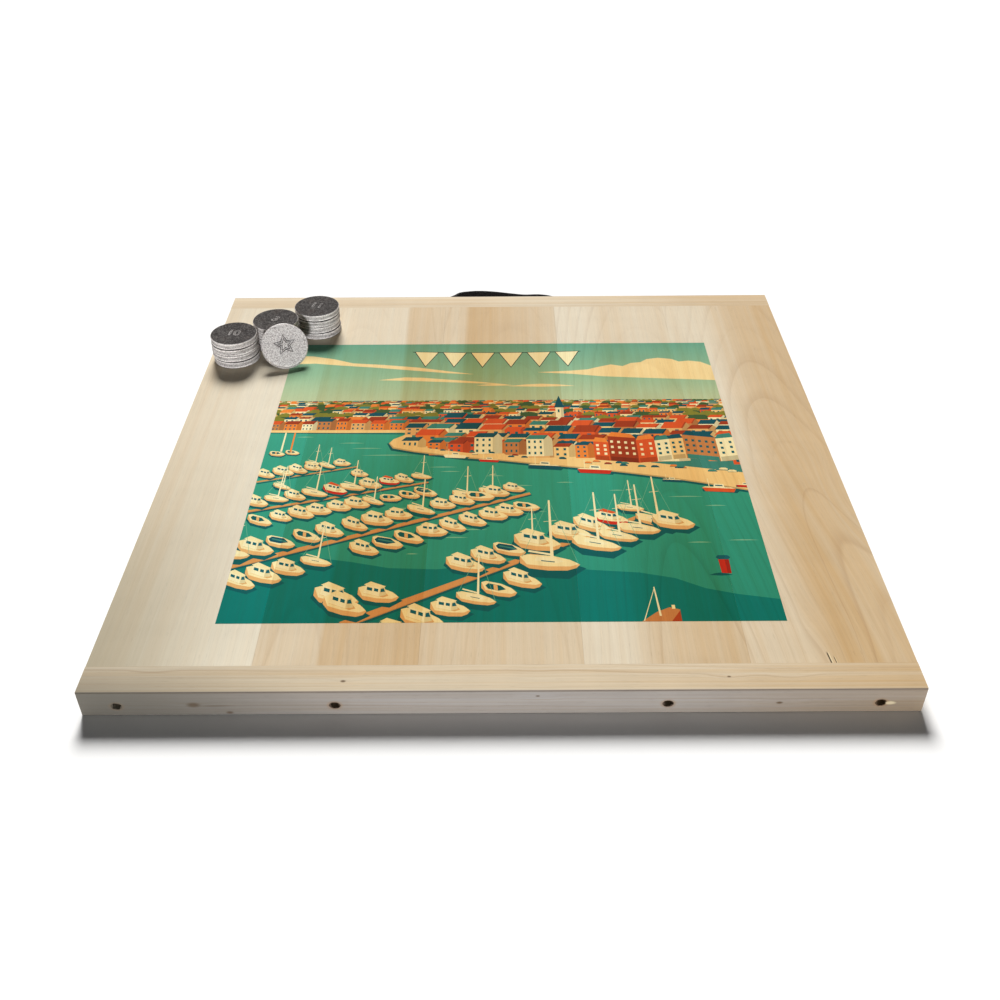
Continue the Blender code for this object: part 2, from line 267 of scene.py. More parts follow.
def plank_wood(graph):
    """Colour, roughness and relief of the five planks, whose grain runs front to back."""
    x, y, z = graph.place
    planks = ((x - LEFT) / PLANK_WIDTH).held(0.001, PLANKS - 0.001)
    number = graph.math("FLOOR", planks)
    local = planks - number
    seed = number + 1.0
    sixths = seed / 6.0
    across = (local - sixths.profile(PITH)) * PLANK_WIDTH
    # A knot just outside the right edge and the cracked end bend the last plank's grain.
    edge_knot = graph.distance(x, y, (0.356, -0.095), (1.0, 0.55))
    crack_figure = graph.distance(x, y, (0.279, -0.322), (1.0, 0.22))
    across = across + edge_knot.span(0.055, 0.0) * 0.016 - crack_figure.span(0.022, 0.0) * 0.010
    # The last plank's grain runs out to the right towards the front.
    last = graph.math("GREATER_THAN", number, PLANKS - 1.5)
    across = across - y.span(0.12, -0.36) * last * 0.050
    drift, streak, ring, fibre, pore, shimmer = grain(graph, across, y, z, seed, 0.040, 0.0085, 0.10)
    ring = ring * sixths.profile(RING_STRENGTH)

    inside = (local + drift * (0.5 / PLANK_WIDTH)).held(0.012, 0.988)
    place = (number + inside) / PLANKS
    front, rear = (
        place.profile([(at / PLANKS, tone) for at, tone in tones]) for tones in (FRONT_TONE, REAR_TONE)
    )
    tone = graph.mix(y.span(-0.20, 0.18), front, rear)
    colour = poplar_colour(graph, tone, streak, ring, fibre, pore, shimmer)
    # The near left corner is darkened with painted shade, the light falling off towards it.
    painted_corner_shade = x.span(-0.20, -0.37) * y.span(0.05, -0.34)
    colour = graph.mix(painted_corner_shade * 0.62, colour, rgb(128, 124, 106))

    slant = x + (y + 0.319) * 0.10
    for start, end, width in CRACKS:
        thin = y.span(end, end - 0.004)
        line = (abs(slant - start) + fibre.wave(0.0006)).span(width, width * 0.35)
        beside = abs(slant - (start + 1.3 * width)).span(width * 0.8, width * 0.2)
        colour = graph.painted(colour, (line * thin * 0.93, CRACK), (beside * thin * 0.5, PALE_WOOD))
    roughness = 0.74 + fibre.wave(0.22) + streak.wave(-0.08)
    relief = fibre * 0.6 + ring * 0.5 + pore * 0.25
    return colour, roughness, relief


def plank_material():
    graph = Graph("poplar_plank_look")
    colour, roughness, relief = plank_wood(graph)
    return graph.finish(colour, roughness, WOOD_SPECULAR, relief, 0.00010, 0.55)


def ink_material():
    """The same wood with the printed ink over it: the ink tints it, so seams and grain show through."""
    graph = Graph("printed_ink_look")
    x, y, z = graph.place
    colour, roughness, relief = plank_wood(graph)
    inked = graph.mix(1.0, colour, graph.attribute("ink", "Color"), "MULTIPLY")
    speck = graph.noise(x * 2600, y * 2600, z)
    colour = graph.lit(inked, 1.0 + speck.wave(0.10))
    return graph.finish(colour, roughness + 0.08, 0.04, relief, 0.00010, 0.45)


# Knots of the front batten, as (x, y or z on that face, radius): small dark eyes that bend the grain.
# One without a radius bends the grain and has no eye.
FRONT_TOP_KNOTS = (
    (0.189, -0.335, 0.0008), (0.242, -0.334, 0.0), (-0.131, -0.338, 0.0011), (-0.293, -0.325, 0.0),
)
FRONT_FACE_KNOTS = (
    (0.230, 0.0115, 0.0011), (-0.255, 0.0123, 0.0022), (-0.226, 0.0030, 0.0012), (0.030, 0.021, 0.0007),
)
# How far the front face is shaded from its left end (0) to its right one (1).
FRONT_SHADE = ((0.0, 0.66), (0.10, 0.38), (0.30, 0.02), (0.5, 0.0), (1.0, 0.14))


def batten_material():
    """Grain along X; the front batten has a few pin knots, and the screw holes have bruised rims."""
    graph = Graph("poplar_batten_look")
    x, y, z = graph.place
    rear = graph.math("GREATER_THAN", y, 0.0)
    front = 1.0 - rear
    front_face = y.span(FRONT + 0.0030, FRONT + 0.0005)
    bend = 0.0
    eyes = 0.0
    for spot_x, spot, radius in FRONT_TOP_KNOTS:
        bend = bend + graph.distance(x, y, (spot_x, spot), (0.35, 1.0)).span(0.009, 0.0) * 0.0012
        if radius:
            eye = graph.distance(x, y, (spot_x, spot), (0.6, 1.0)).span(radius * 1.7, radius * 0.5)
            eyes = graph.math("MAXIMUM", eyes, eye * z.span(0.018, 0.024))
    for spot_x, spot, radius in FRONT_FACE_KNOTS:
        bend = bend + graph.distance(x, z, (spot_x, spot), (0.30, 1.0)).span(0.010, 0.0) * 0.0014
        eye = graph.distance(x, z, (spot_x, spot), (0.5, 1.0)).span(radius * 1.8, radius * 0.5)
        eyes = graph.math("MAXIMUM", eyes, eye * front_face)
    bend = bend * front
    across = y + bend + 0.380
    depth = z + bend * 0.8
    seed = 11.0 + rear * 3.0
    _, streak, ring, fibre, pore, shimmer = grain(graph, across, x, depth, seed, 0.055, 0.0042, 0.012)
    ring = ring * 1.5
    thread = graph.noise(x * 2.6, across * 460, depth * 460)
    broad = graph.noise(x * 3.0, y * 9, z + seed)
    tone = 0.38 + broad.wave(0.5) + x.span(0.05, 0.35) * 0.30 + thread.wave(0.55)
    colour = poplar_colour(graph, tone, streak, ring, fibre, pore, shimmer)
    # The outer faces get a cool painted tint of the light on them, and the front face painted shade, deepest
    # towards its left end and near its top.
    edge = abs(y).span(REAR - 0.0018, REAR - 0.0004)
    colour = graph.mix(edge, colour, rgb(206, 213, 236), "MULTIPLY")
    shade = x.span(-0.36, 0.36).profile(FRONT_SHADE)
    shade = graph.math("MAXIMUM", shade, z.span(0.012, TOP - 0.0008) * 0.20)
    colour = graph.mix(edge * front * shade, colour, rgb(84, 80, 72))
    stain = graph.distance(x, z, (-0.237, 0.0112), (0.075, 1.0)).span(0.0016, 0.0002) * front_face
    colour = graph.painted(colour, (stain * 0.45, KNOT), (eyes * front * 0.82, KNOT))
    # Each hole's rim is bruised, and its inside is darkened with painted shade.
    for hole_x in SCREW_X:
        away = graph.distance(x, z, (hole_x, SCREW_Z), (0.8, 1.0)) + fibre.wave(0.0012)
        rim, inside = away.span(0.0062, 0.0040, 0.0, 0.35), away.span(0.0041, 0.0036, 0.0, 0.80)
        colour = graph.painted(colour, (rim, RING), (inside, HOLE_SHADE))
    # The wood beside the front's last hole is torn and pale.
    torn = graph.distance(x, z, (0.3215, 0.0106), (0.42, 1.0)) + fibre.wave(0.0022)
    torn = torn.span(0.0026, 0.0010) * x.span(0.3172, 0.3185) * front
    # The front's upper edge is darker, and its left end is darkened with painted shade, the light falling off
    # towards that corner.
    upper_edge = z.span(TOP - 0.0016, TOP - 0.0007) * y.span(FRONT + 0.0011, FRONT + 0.0005)
    left_end_shade = x.span(-0.10, -0.37) * y.span(-0.28, -0.36)
    colour = graph.painted(
        colour,
        (torn * 0.62, rgb(232, 214, 176)),
        (upper_edge * 0.28, rgb(92, 66, 44)),
        (left_end_shade * 0.66, rgb(96, 93, 84)),
    )
    roughness = 0.76 + fibre.wave(0.22) + streak.wave(-0.08)
    relief = fibre * 0.7 + ring * 0.5 + torn * 2.0
    return graph.finish(colour, roughness, WOOD_SPECULAR, relief, 0.00012, 0.6)


# ---------------------------------------------------------------- metal and webbing

WEBBING_PITCH_ALONG = 0.0026
WEBBING_PITCH_ACROSS = 0.0019
PLAIN_SPECULAR = 0.5  # the shader's own default


def iron_material():
    """Sand-cast iron. The mesh attribute read below is 0 on dark cast skin and 1 on bright, blasted metal; it
    also holds painted highlights and painted shade.
    """
    graph = Graph("cast_iron_look")
    x, y, z = graph.place
    coarse = graph.noise(x * 420, y * 420, z * 420, detail=3, roughness=0.65)
    fine = graph.noise(x * 760, y * 760, z * 760, detail=3, roughness=0.7)
    layer = graph.noise(x * 55, y * 55, z * 520, detail=3)
    rusty = graph.noise(x * 70, y * 70, z * 70, detail=3)
    worn_and_lit = graph.attribute("wear") * (1.0 + layer.wave(1.6))
    worn_and_lit = graph.math("ADD", worn_and_lit, coarse.wave(0.34), clamp=True)
    dark = graph.mix(fine.span(0.56, 0.70), rgb(38, 34, 33), rgb(98, 92, 90))
    dark = graph.mix(rusty.span(0.50, 0.75, 0.0, 0.35), dark, rgb(76, 64, 57))
    bright = graph.mix(fine.span(0.30, 0.60), rgb(164, 150, 148), rgb(255, 250, 246))
    graph.feed(graph.shader.inputs["Metallic"], worn_and_lit * 0.12)
    roughness = worn_and_lit.span(0.0, 1.0, 0.82, 0.50)
    return graph.finish(graph.mix(worn_and_lit, dark, bright), roughness, 0.08, coarse + fine * 0.8, 0.00035, 0.8)


def steel_material(name, light, dark, roughness, metallic):
    graph = Graph(name)
    x, y, z = graph.place
    brushed = graph.noise(x * 1800, y * 260, z * 1800, detail=3)
    patch = graph.noise(x * 160, y * 160, z * 160)
    colour = graph.mix((brushed * 0.6 + patch * 0.4).span(0.3, 0.7), dark, light)
    graph.feed(graph.shader.inputs["Metallic"], metallic)
    return graph.finish(colour, roughness + brushed.wave(0.25), PLAIN_SPECULAR, brushed, 0.00003, 0.6)


def webbing_material():
    """Black polypropylene webbing: the mesh attribute "along" is the distance along the strap."""
    graph = Graph("black_webbing_look")
    x, y, z = graph.place
    step = z / WEBBING_PITCH_ACROSS
    pick = graph.attribute("along") / WEBBING_PITCH_ALONG + graph.math("PINGPONG", step, 0.5)
    weft = graph.math("SINE", pick * math.tau)
    warp = abs(graph.math("SINE", step * math.pi))
    weave = weft * 0.5 + warp
    fuzz = graph.noise(x * 3000, y * 3000, z * 3000)
    colour = graph.mix(weave.span(-0.3, 1.4), rgb(12, 12, 15), rgb(46, 46, 52))
    colour = graph.mix(fuzz * 0.25, colour, rgb(66, 66, 72))
    graph.feed(graph.shader.inputs["Sheen Weight"], 0.25)
    graph.feed(graph.shader.inputs["Sheen Roughness"], 0.4)
    return graph.finish(colour, 0.58 + fuzz.wave(0.2), PLAIN_SPECULAR, weave + fuzz * 0.3, 0.00022, 0.9)


def floor_material():
    graph = Graph("floor_look")
    x, y, z = graph.place
    inputs = graph.shader.inputs
    graph.feed(inputs["Base Color"], graph.mix(graph.noise(x * 3, y * 3, z), grey(0.90), grey(0.92)))
    graph.feed(inputs["Roughness"], 0.95)
    graph.feed(inputs["Specular IOR Level"], 0.1)
    return graph.material


# ---------------------------------------------------------------- mesh helpers


def attach(piece, body, slot, *replaced):
    """Names the body that a piece rides and the CAD nodes that it stands for; slot is not used."""
    for node in replaced:
        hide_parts(node)
    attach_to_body(piece, body)


def add_object(name, data):
    obj = bpy.data.objects.new(name, data)
    bpy.context.scene.collection.objects.link(obj)
    return obj


def smooth(mesh, degrees=35):
    """Smooth shading, with edges sharper than this kept."""
    mesh.shade_smooth()
    mesh.set_sharp_from_angle(angle=math.radians(degrees))


def to_object(name, bm, material, smooth_degrees=None):
    bmesh.ops.recalc_face_normals(bm, faces=bm.faces)
    mesh = bpy.data.meshes.new(name)
    bm.to_mesh(mesh)
    bm.free()
    mesh.materials.append(material)
    if smooth_degrees is not None:
        smooth(mesh, smooth_degrees)
    return add_object(name, mesh)


def turned(bm, profile, sides, matrix, ripple=None, closed=False):
    """A turned solid about local Z: profile is (radius, z) pairs from pole to pole, or a closed section."""
    rings = []
    for radius, height in profile:
        ring = []
        for k in range(sides if radius else 1):
            angle = math.tau * k / sides
            point = Vector((radius * math.cos(angle), radius * math.sin(angle), height))
            ring.append(bm.verts.new(matrix @ (ripple(point) if ripple else point)))
        rings.append(ring)
    following = rings[1:] + (rings[:1] if closed else [])
    for low, high in zip(rings, following):
        for k in range(sides):
            after = (k + 1) % sides
            corners = (low[k % len(low)], low[after % len(low)], high[after % len(high)], high[k % len(high)])
            bm.faces.new(list(dict.fromkeys(corners)))


def baked(obj):
    """The mesh of an object with its modifiers or its curve's bevel worked out."""
    evaluated = obj.evaluated_get(bpy.context.evaluated_depsgraph_get())
    return bpy.data.meshes.new_from_object(evaluated)


def subtract(obj, cutter):
    """Cuts obj and keeps the result as its mesh; the cutter is removed."""
    modifier = obj.modifiers.new("cut", "BOOLEAN")
    modifier.operation = "DIFFERENCE"
    modifier.solver = "EXACT"
    modifier.object = cutter
    mesh = baked(obj)
    obj.modifiers.remove(modifier)
    obj.data = mesh
    bpy.data.objects.remove(cutter)


def corner_colours(mesh, name, colour_of):
    """A colour attribute whose value at each corner is colour_of(vertex place, polygon)."""
    layer = mesh.color_attributes.new(name, "FLOAT_COLOR", "CORNER")
    for polygon in mesh.polygons:
        for loop in polygon.loop_indices:
            place = mesh.vertices[mesh.loops[loop].vertex_index].co
            layer.data[loop].color = colour_of(place, polygon)


# ---------------------------------------------------------------- printed picture
# Its places are in millimetres on the top face.

PRINT_X = (-251, 251)
PRINT_Y = (-269, 223)
PRINT_SEAM = 0.04  # gap in the ink along each seam between planks
INK_LOW, INK_HIGH = TOP + 0.00002, TOP + 0.00010
PRINT_GROUND = rgb(221, 205, 174)  # the bare wood's average colour under the print
BRIGHTEST_INK = 1.25


def ink(red, green, blue):
    """The tint that turns the poplar into the given display colour."""
    wanted = rgb(red, green, blue)
    return tuple(min(part / wood, BRIGHTEST_INK) for part, wood in zip(wanted[:3], PRINT_GROUND[:3])) + (1.0,)


def shaded(colour, amount):
    return tuple(part * amount for part in colour[:3]) + (1.0,)


CLOUD = ink(240, 208, 142)
SKY = ((94, ink(184, 190, 140)), (150, ink(146, 178, 134)), (223, ink(106, 160, 128)))
WATER = ((-269, ink(44, 138, 108)), (-60, ink(50, 148, 114)), (34, ink(58, 154, 120)))
DEEP = ((-269, ink(6, 112, 96)), (-150, ink(14, 116, 98)))
GLINT = ink(120, 176, 134)
SHADE = ink(10, 88, 82)
DECK = ink(250, 220, 154)
HULL = ink(226, 170, 100)
CREAM_INK = ink(252, 226, 168)
GLASS = ink(16, 92, 94)
PLANKING = ink(214, 146, 78)
STONE = ink(240, 196, 120)
ORANGE = ink(232, 128, 48)
VERMILION = ink(216, 84, 32)
RUST = ink(158, 56, 20)
RED = ink(198, 44, 20)
TEAL_ROOF = ink(60, 128, 108)
DARK_ROOF = ink(14, 78, 84)
OLIVE = ink(128, 122, 40)
DARK_OLIVE = ink(62, 88, 44)
BROWN = ink(196, 124, 64)


class Picture:
    """Flat shapes painted over one another. An ink is one tint, or (y, tint) steps from low to high."""

    def __init__(self, seed):
        self.shapes = []
        self.random = random.Random(seed)

    def paint(self, colour, *points):
        """Adds a shape; the overlay needs its outline anticlockwise."""
        following = points[1:] + points[:1]
        turn = sum(a[0] * b[1] - b[0] * a[1] for a, b in zip(points, following))
        self.shapes.append((colour, points if turn > 0 else points[::-1]))

    def box(self, colour, left, low, right, high):
        self.paint(colour, (left, low), (right, low), (right, high), (left, high))

    def stroke(self, colour, start, end, width, end_width=None):
        """A straight stroke, which may taper."""
        start, end = Vector(start), Vector(end)
        side = (end - start).orthogonal().normalized()
        a, b = side * width / 2, side * (width if end_width is None else end_width) / 2
        self.paint(colour, start - a, end - b, end + b, start + a)

    def wash(self, steps, low, high, pitch):
        """A gradient over the print's whole width, as level bands."""
        count = round((high - low) / pitch)
        levels = [low + (high - low) * k / count for k in range(count + 1)]
        for y0, y1 in zip(levels, levels[1:]):
            self.box(steps, PRINT_X[0], y0, PRINT_X[1], y1)

    def lens(self, colour, x, y, width, height):
        """A glint or a far streak of cloud, pointed at both ends."""
        upper = [(x + width * (t - 0.5), y + height * math.sin(math.pi * t)) for t in (0.25, 0.5, 0.75)]
        self.paint(colour, (x - width / 2, y), (x, y - 0.3 * height), (x + width / 2, y), *upper[::-1])


def tint_at(colour, y):
    if not isinstance(colour[0], tuple):
        return colour
    for (low, low_tint), (high, high_tint) in zip(colour, colour[1:]):
        if y <= high:
            t = min(max((y - low) / (high - low), 0), 1)
            return tuple(a + (b - a) * t for a, b in zip(low_tint, high_tint))
    return colour[-1][1]


def sky(picture):
    picture.wash(SKY, 88, PRINT_Y[1], 8.0)
    picture.paint(
        CLOUD, (-251, 176), (-222, 178), (-190, 173), (-150, 168), (-100, 160), (-62, 154), (-30, 151),
        (-60, 158), (-96, 167), (-140, 174), (-176, 178), (-200, 188), (-226, 195), (-251, 196),
    )
    picture.paint(
        CLOUD, (-142, 139), (-104, 137), (-66, 134), (-28, 131), (8, 128), (-24, 134), (-58, 139),
        (-92, 144), (-112, 145),
    )
    picture.lens(CLOUD, -6, 126, 44, 3)
    picture.lens(CLOUD, 48, 124, 78, 5)
    picture.paint(
        CLOUD, (44, 155), (84, 151), (120, 145), (170, 141), (212, 138), (251, 135), (251, 168),
        (240, 177), (226, 180), (214, 178), (206, 184), (190, 187), (176, 184), (168, 177), (156, 175),
        (146, 168), (132, 172), (118, 167), (104, 161), (82, 158),
    )


def bunting(picture):
    """Six plain pennants on a line: a generic ornament where the photo's board has its title."""
    dark = ink(34, 40, 38)
    left, right, height, sag, drop = -106.0, 98.0, 204.0, 3.0, 33
    steps = [k / 12 for k in range(13)]
    knots = [(left + (right - left) * t, height - sag * math.sin(math.pi * t)) for t in steps]
    for a, b in zip(knots, knots[1:]):
        picture.stroke(dark, a, b, 1.3)
    for (x0, y0), (x1, y1) in zip(knots[:-2:2], knots[2::2]):
        gap = 0.10 * (x1 - x0)
        for colour, grow in ((dark, 1.5), (CREAM_INK, 0.0)):
            tip = ((x0 + x1) / 2, (y0 + y1) / 2 - drop - 1.6 * grow)
            picture.paint(colour, (x0 + gap - grow, y0 + 0.6 * grow), tip, (x1 - gap + grow, y1 + 0.6 * grow))


def bush(picture, x, y, size, colour):
    points = []
    for k in range(9):
        angle = math.pi * k / 8
        reach = size * picture.random.uniform(0.75, 1.05)
        points.append((x + reach * math.cos(angle), y + 0.8 * reach * math.sin(angle)))
    picture.paint(colour, *points)


HOUSE_FRONT = 0.66  # share of a house's width that is its front wall


def house(picture, x, y, width, wall, roof_height, colour, roof, storeys, columns):
    """A gabled house seen a little from the right, standing on y, with its shaded end on the right."""
    front = HOUSE_FRONT * width
    turn = x + front
    end = x + width
    top = y + wall
    picture.box(colour, x, y, turn, top)
    peak = ((turn + end) / 2, top + roof_height)
    picture.paint(shaded(colour, 0.70), (turn, y), (end, y + 0.03 * width), (end, top), peak, (turn, top))
    picture.paint(roof, (x - 0.04 * width, top), (turn, top), peak, (x + 0.14 * width, top + roof_height))
    picture.stroke(shaded(roof, 0.6), (turn, top), peak, 0.05 * width)
    for row in range(storeys):
        for column in range(columns):
            left = x + front * (column + 0.3) / columns
            low = y + wall * (row + 0.32) / storeys
            picture.box(GLASS, left, low, left + front * 0.36 / columns, low + wall * 0.44 / storeys)


def town(picture):
    pick = picture.random
    picture.paint(
        DARK_OLIVE, (-251, 28), (251, 28), (251, 92), (226, 93), (200, 94), (176, 91), (150, 90),
        (120, 91), (70, 89), (10, 90), (-60, 91), (-120, 90), (-180, 92), (-251, 89),
    )
    walls = (ORANGE, CREAM_INK, STONE, HULL, VERMILION, DECK)
    roofs = (VERMILION, ORANGE, TEAL_ROOF, DARK_ROOF, RUST, DARK_ROOF)
    rows = ((94, 7), (91, 9), (87, 11), (82, 13), (76, 15), (69, 18), (61, 21), (52, 24), (43, 26))
    for y, width in rows:
        x = -256.0 - pick.uniform(0, width)
        while x < 251:
            size = width * pick.uniform(0.75, 1.35)
            if pick.random() < (0.36 if y > 66 else 0.18):
                green = pick.choice((OLIVE, DARK_OLIVE, OLIVE))
                bush(picture, x + size / 2, y - size * 0.42, size * 0.6, green)
            else:
                wall = size * pick.uniform(0.34, 0.60)
                colour, roof = pick.choice(walls), pick.choice(roofs)
                rise = size * pick.uniform(0.20, 0.34)
                house(picture, x, y - wall - rise, size, wall, rise, colour, roof, 1, 2 if width > 14 else 0)
            x += size * pick.uniform(0.72, 0.95)
    # A plain steeple behind the quay.
    picture.box(CREAM_INK, 62, 50, 71, 78)
    picture.box(shaded(CREAM_INK, 0.7), 68, 50, 71, 78)
    picture.paint(DARK_ROOF, (60.5, 78), (72.5, 78), (66.5, 103))
    picture.box(GLASS, 64.5, 68, 66.5, 74)


def waterfront(picture):
    """The far quay on the left, with its houses standing on it."""
    pick = picture.random
    picture.paint(STONE, (-251, 31), (-96, 28), (-96, 40), (-251, 40))
    x = -256.0
    while x < -88:
        width = pick.uniform(17, 25)
        wall = pick.uniform(12, 18)
        colour = pick.choice((ORANGE, STONE, HULL, BROWN, CREAM_INK))
        roof = pick.choice((DARK_ROOF, VERMILION, TEAL_ROOF, RUST))
        house(picture, x, 34, width, wall, 6.5, colour, roof, 2, 3)
        x += width * 0.93
    picture.paint(STONE, (-251, 30.5), (-100, 27.5), (-100, 34), (-251, 35))


CARS = 26
QUAY = (
    (-116, 16), (-119, 9), (-114, 1), (-92, -6), (-64, -12), (-36, -18), (-4, -22), (40, -30),
    (84, -37), (126, -45), (168, -54), (206, -64), (251, -77),
)


def quay_foot(drop):
    """The quay's outline moved down and to the left, clear of its bend."""
    return [(x - (0.5 * drop if x < -110 else 0.0), y - (0.2 * drop if x < -117 else drop)) for x, y in QUAY]


def harbour_water(picture):
    picture.wash(WATER, PRINT_Y[0], 29, 10.0)
    picture.paint(SHADE, (-251, 30.5), (-100, 27.5), (-70, 25), (-100, 25.5), (-251, 29))
    glints = (
        (-212, 21, 20), (-160, 9, 28), (-143, -1, 34), (-118, -14, 60), (-60, -36, 30), (-52, -44, 22),
        (-168, -84, 16), (-128, -98, 26), (-96, -106, 22), (20, -69, 26), (66, -64, 18), (186, -89, 36),
        (232, -158, 30), (190, -161, 24), (110, -224, 16), (8, -236, 26), (-28, -140, 30), (-44, -152, 26),
        (-84, -176, 12), (36, -112, 20), (214, -104, 22), (158, -120, 18), (-6, -52, 20), (118, -78, 16),
    )
    for x, y, width in glints:
        picture.lens(GLINT, x, y, width, 1.3)
    picture.paint(
        DEEP, (251, -241), (214, -234), (186, -226), (160, -212), (128, -204), (84, -200), (38, -192),
        (-10, -192), (-60, -198), (-104, -196), (-140, -187), (-176, -180), (-214, -166), (-251, -160),
        (-251, -269), (251, -269),
    )
    picture.paint(SHADE, *quay_foot(6), *QUAY[::-1])


def quayside(picture):
    """The near quay on the right, with rows of houses behind the front row."""
    pick = picture.random
    picture.paint(STONE, *QUAY, (251, 0), (-40, 22), (-96, 30))
    picture.paint(TEAL_ROOF, (-96, 12), (-40, 0), (40, -12), (130, -24), (251, -48), (251, 6), (-96, 26))
    for y, size, start in ((60, 24, -62), (50, 27, -84), (38, 30, -104), (24, 31, -92), (12, 30, -76)):
        x = float(start)
        while x < 251:
            width = size * pick.uniform(0.85, 1.25)
            base = y - (x + 100) * 0.055
            wall = width * pick.uniform(0.5, 0.8)
            colour = pick.choice((CREAM_INK, STONE, ORANGE, HULL, VERMILION, DECK, BROWN))
            roof = pick.choice((DARK_ROOF, TEAL_ROOF, DARK_ROOF, VERMILION, RUST))
            house(picture, x, base - wall, width, wall, width * pick.uniform(0.22, 0.38), colour, roof, 2, 2)
            x += width * pick.uniform(0.74, 0.92)
    front_row = (
        (-106, 0, 26, 13, STONE, DARK_ROOF, 1, 3), (-78, -5, 20, 14, ORANGE, DARK_ROOF, 2, 2),
        (-56, -10, 24, 17, VERMILION, RUST, 2, 2), (-28, -12, 30, 31, CREAM_INK, DARK_ROOF, 3, 3),
        (4, -13, 24, 22, BROWN, TEAL_ROOF, 2, 3), (28, -17, 28, 32, CREAM_INK, TEAL_ROOF, 3, 3),
        (57, -19, 24, 19, STONE, RUST, 2, 2), (80, -21, 20, 24, ORANGE, DARK_ROOF, 3, 2),
    )
    for x, y, width, wall, *looks in front_row:
        house(picture, x, y, width, wall, width * 0.28, *looks)


def corner_block(picture):
    """A tall corner house, its two neighbours and a long warehouse."""
    blocks = (
        (100, 116, -24, -26, 34, VERMILION, ORANGE, 2), (116, 146, -26, -30, 46, RUST, ORANGE, 4),
        (146, 166, -30, -27, 42, VERMILION, ORANGE, 2), (166, 182, -27, -24, 38, CREAM_INK, TEAL_ROOF, 2),
        (182, 197, -24, -22, 38, STONE, DARK_ROOF, 2), (197, 232, -22, -28, 44, BROWN, DARK_ROOF, 5),
        (232, 252, -28, -25, 42, CREAM_INK, TEAL_ROOF, 2),
    )
    for left, right, low_left, low_right, tall, colour, roof, columns in blocks:

        def level(inset, low, high):
            a, b = left + inset, right - inset
            return (a, low_left + low), (b, low_right + low), (b, low_right + high), (a, low_left + high)

        picture.paint(colour, *level(0, 0, tall))
        inset = 0.16 * (right - left)
        eaves = level(0, tall, tall)[:2]
        picture.paint(roof, *eaves, *level(inset, tall, tall + 8)[2:])
        pane = CREAM_INK if colour in (RUST, VERMILION) else GLASS
        for row in range(3):
            for column in range(columns):
                across = (column + 0.5) / columns
                x = left + (right - left) * across
                y = low_left + (low_right - low_left) * across + tall * (0.30 + 0.22 * row)
                picture.box(pane, x - 1.5, y, x + 1.5, y + 4.2)
        picture.paint(TEAL_ROOF if colour is BROWN else shaded(colour, 0.62), *level(1, 0, 8))


def road_and_quay_edge(picture):
    """The road with its cars, the quay's edge and the fishing boats below it."""
    pick = picture.random
    road = [(x, y + 8) for x, y in QUAY[2:]]
    picture.paint(STONE, *QUAY[1:], *road[::-1])
    car = ((-1, 0), (1, -0.1), (1.05, 0.35), (0.5, 0.75), (-0.5, 0.8), (-1, 0.4))
    for _ in range(CARS):
        t = pick.random()
        x = -70 + 320 * t
        y = -7 - 0.135 * (x + 70) + pick.uniform(-1, 5)
        size = 5 + 4 * t
        colour = pick.choice((DARK_ROOF, GLASS, CREAM_INK, ORANGE, RUST, TEAL_ROOF, DECK))
        tail, nose = x - size * 0.55, x + size * 0.6
        picture.paint(SHADE, (tail, y - 0.8), (nose, y - 1.0), (nose, y + 0.5), (x - size * 0.5, y + 0.5))
        picture.paint(colour, *[(x + size * 0.5 * u, y + size * 0.5 * v) for u, v in car])
    picture.paint(shaded(STONE, 0.62), *quay_foot(2.2), *QUAY[::-1])
    boats = (
        (-48, -17, 25, CREAM_INK), (-12, -25, 22, RED), (46, -37, 34, DARK_ROOF), (98, -45, 36, RED),
        (222, -78, 34, VERMILION), (250, -72, 20, RED), (176, -62, 20, DARK_ROOF),
    )
    for boat in boats:
        fishing_boat(picture, *boat)


def fishing_boat(picture, x, y, length, colour):
    def at(u, v):
        return (x + length * u, y + length * (v - 0.10 * u))

    outlines = (
        (SHADE, (-0.5, -0.12), (0.5, -0.12), (0.62, 0.02), (-0.5, 0.02)),
        (colour, (-0.5, 0.08), (0.5, 0.1), (0.42, -0.08), (-0.42, -0.1)),
        (DECK, (-0.5, 0.08), (0.5, 0.1), (0.36, 0.15), (-0.4, 0.14)),
        (CREAM_INK, (-0.16, 0.1), (0.18, 0.1), (0.16, 0.3), (-0.12, 0.3)),
        (GLASS, (-0.10, 0.19), (0.13, 0.19), (0.12, 0.25), (-0.09, 0.25)),
    )
    for tint, *outline in outlines:
        picture.paint(tint, *[at(u, v) for u, v in outline])
    picture.stroke(DECK, at(-0.28, 0.1), at(-0.28, 0.55), 0.025 * length)


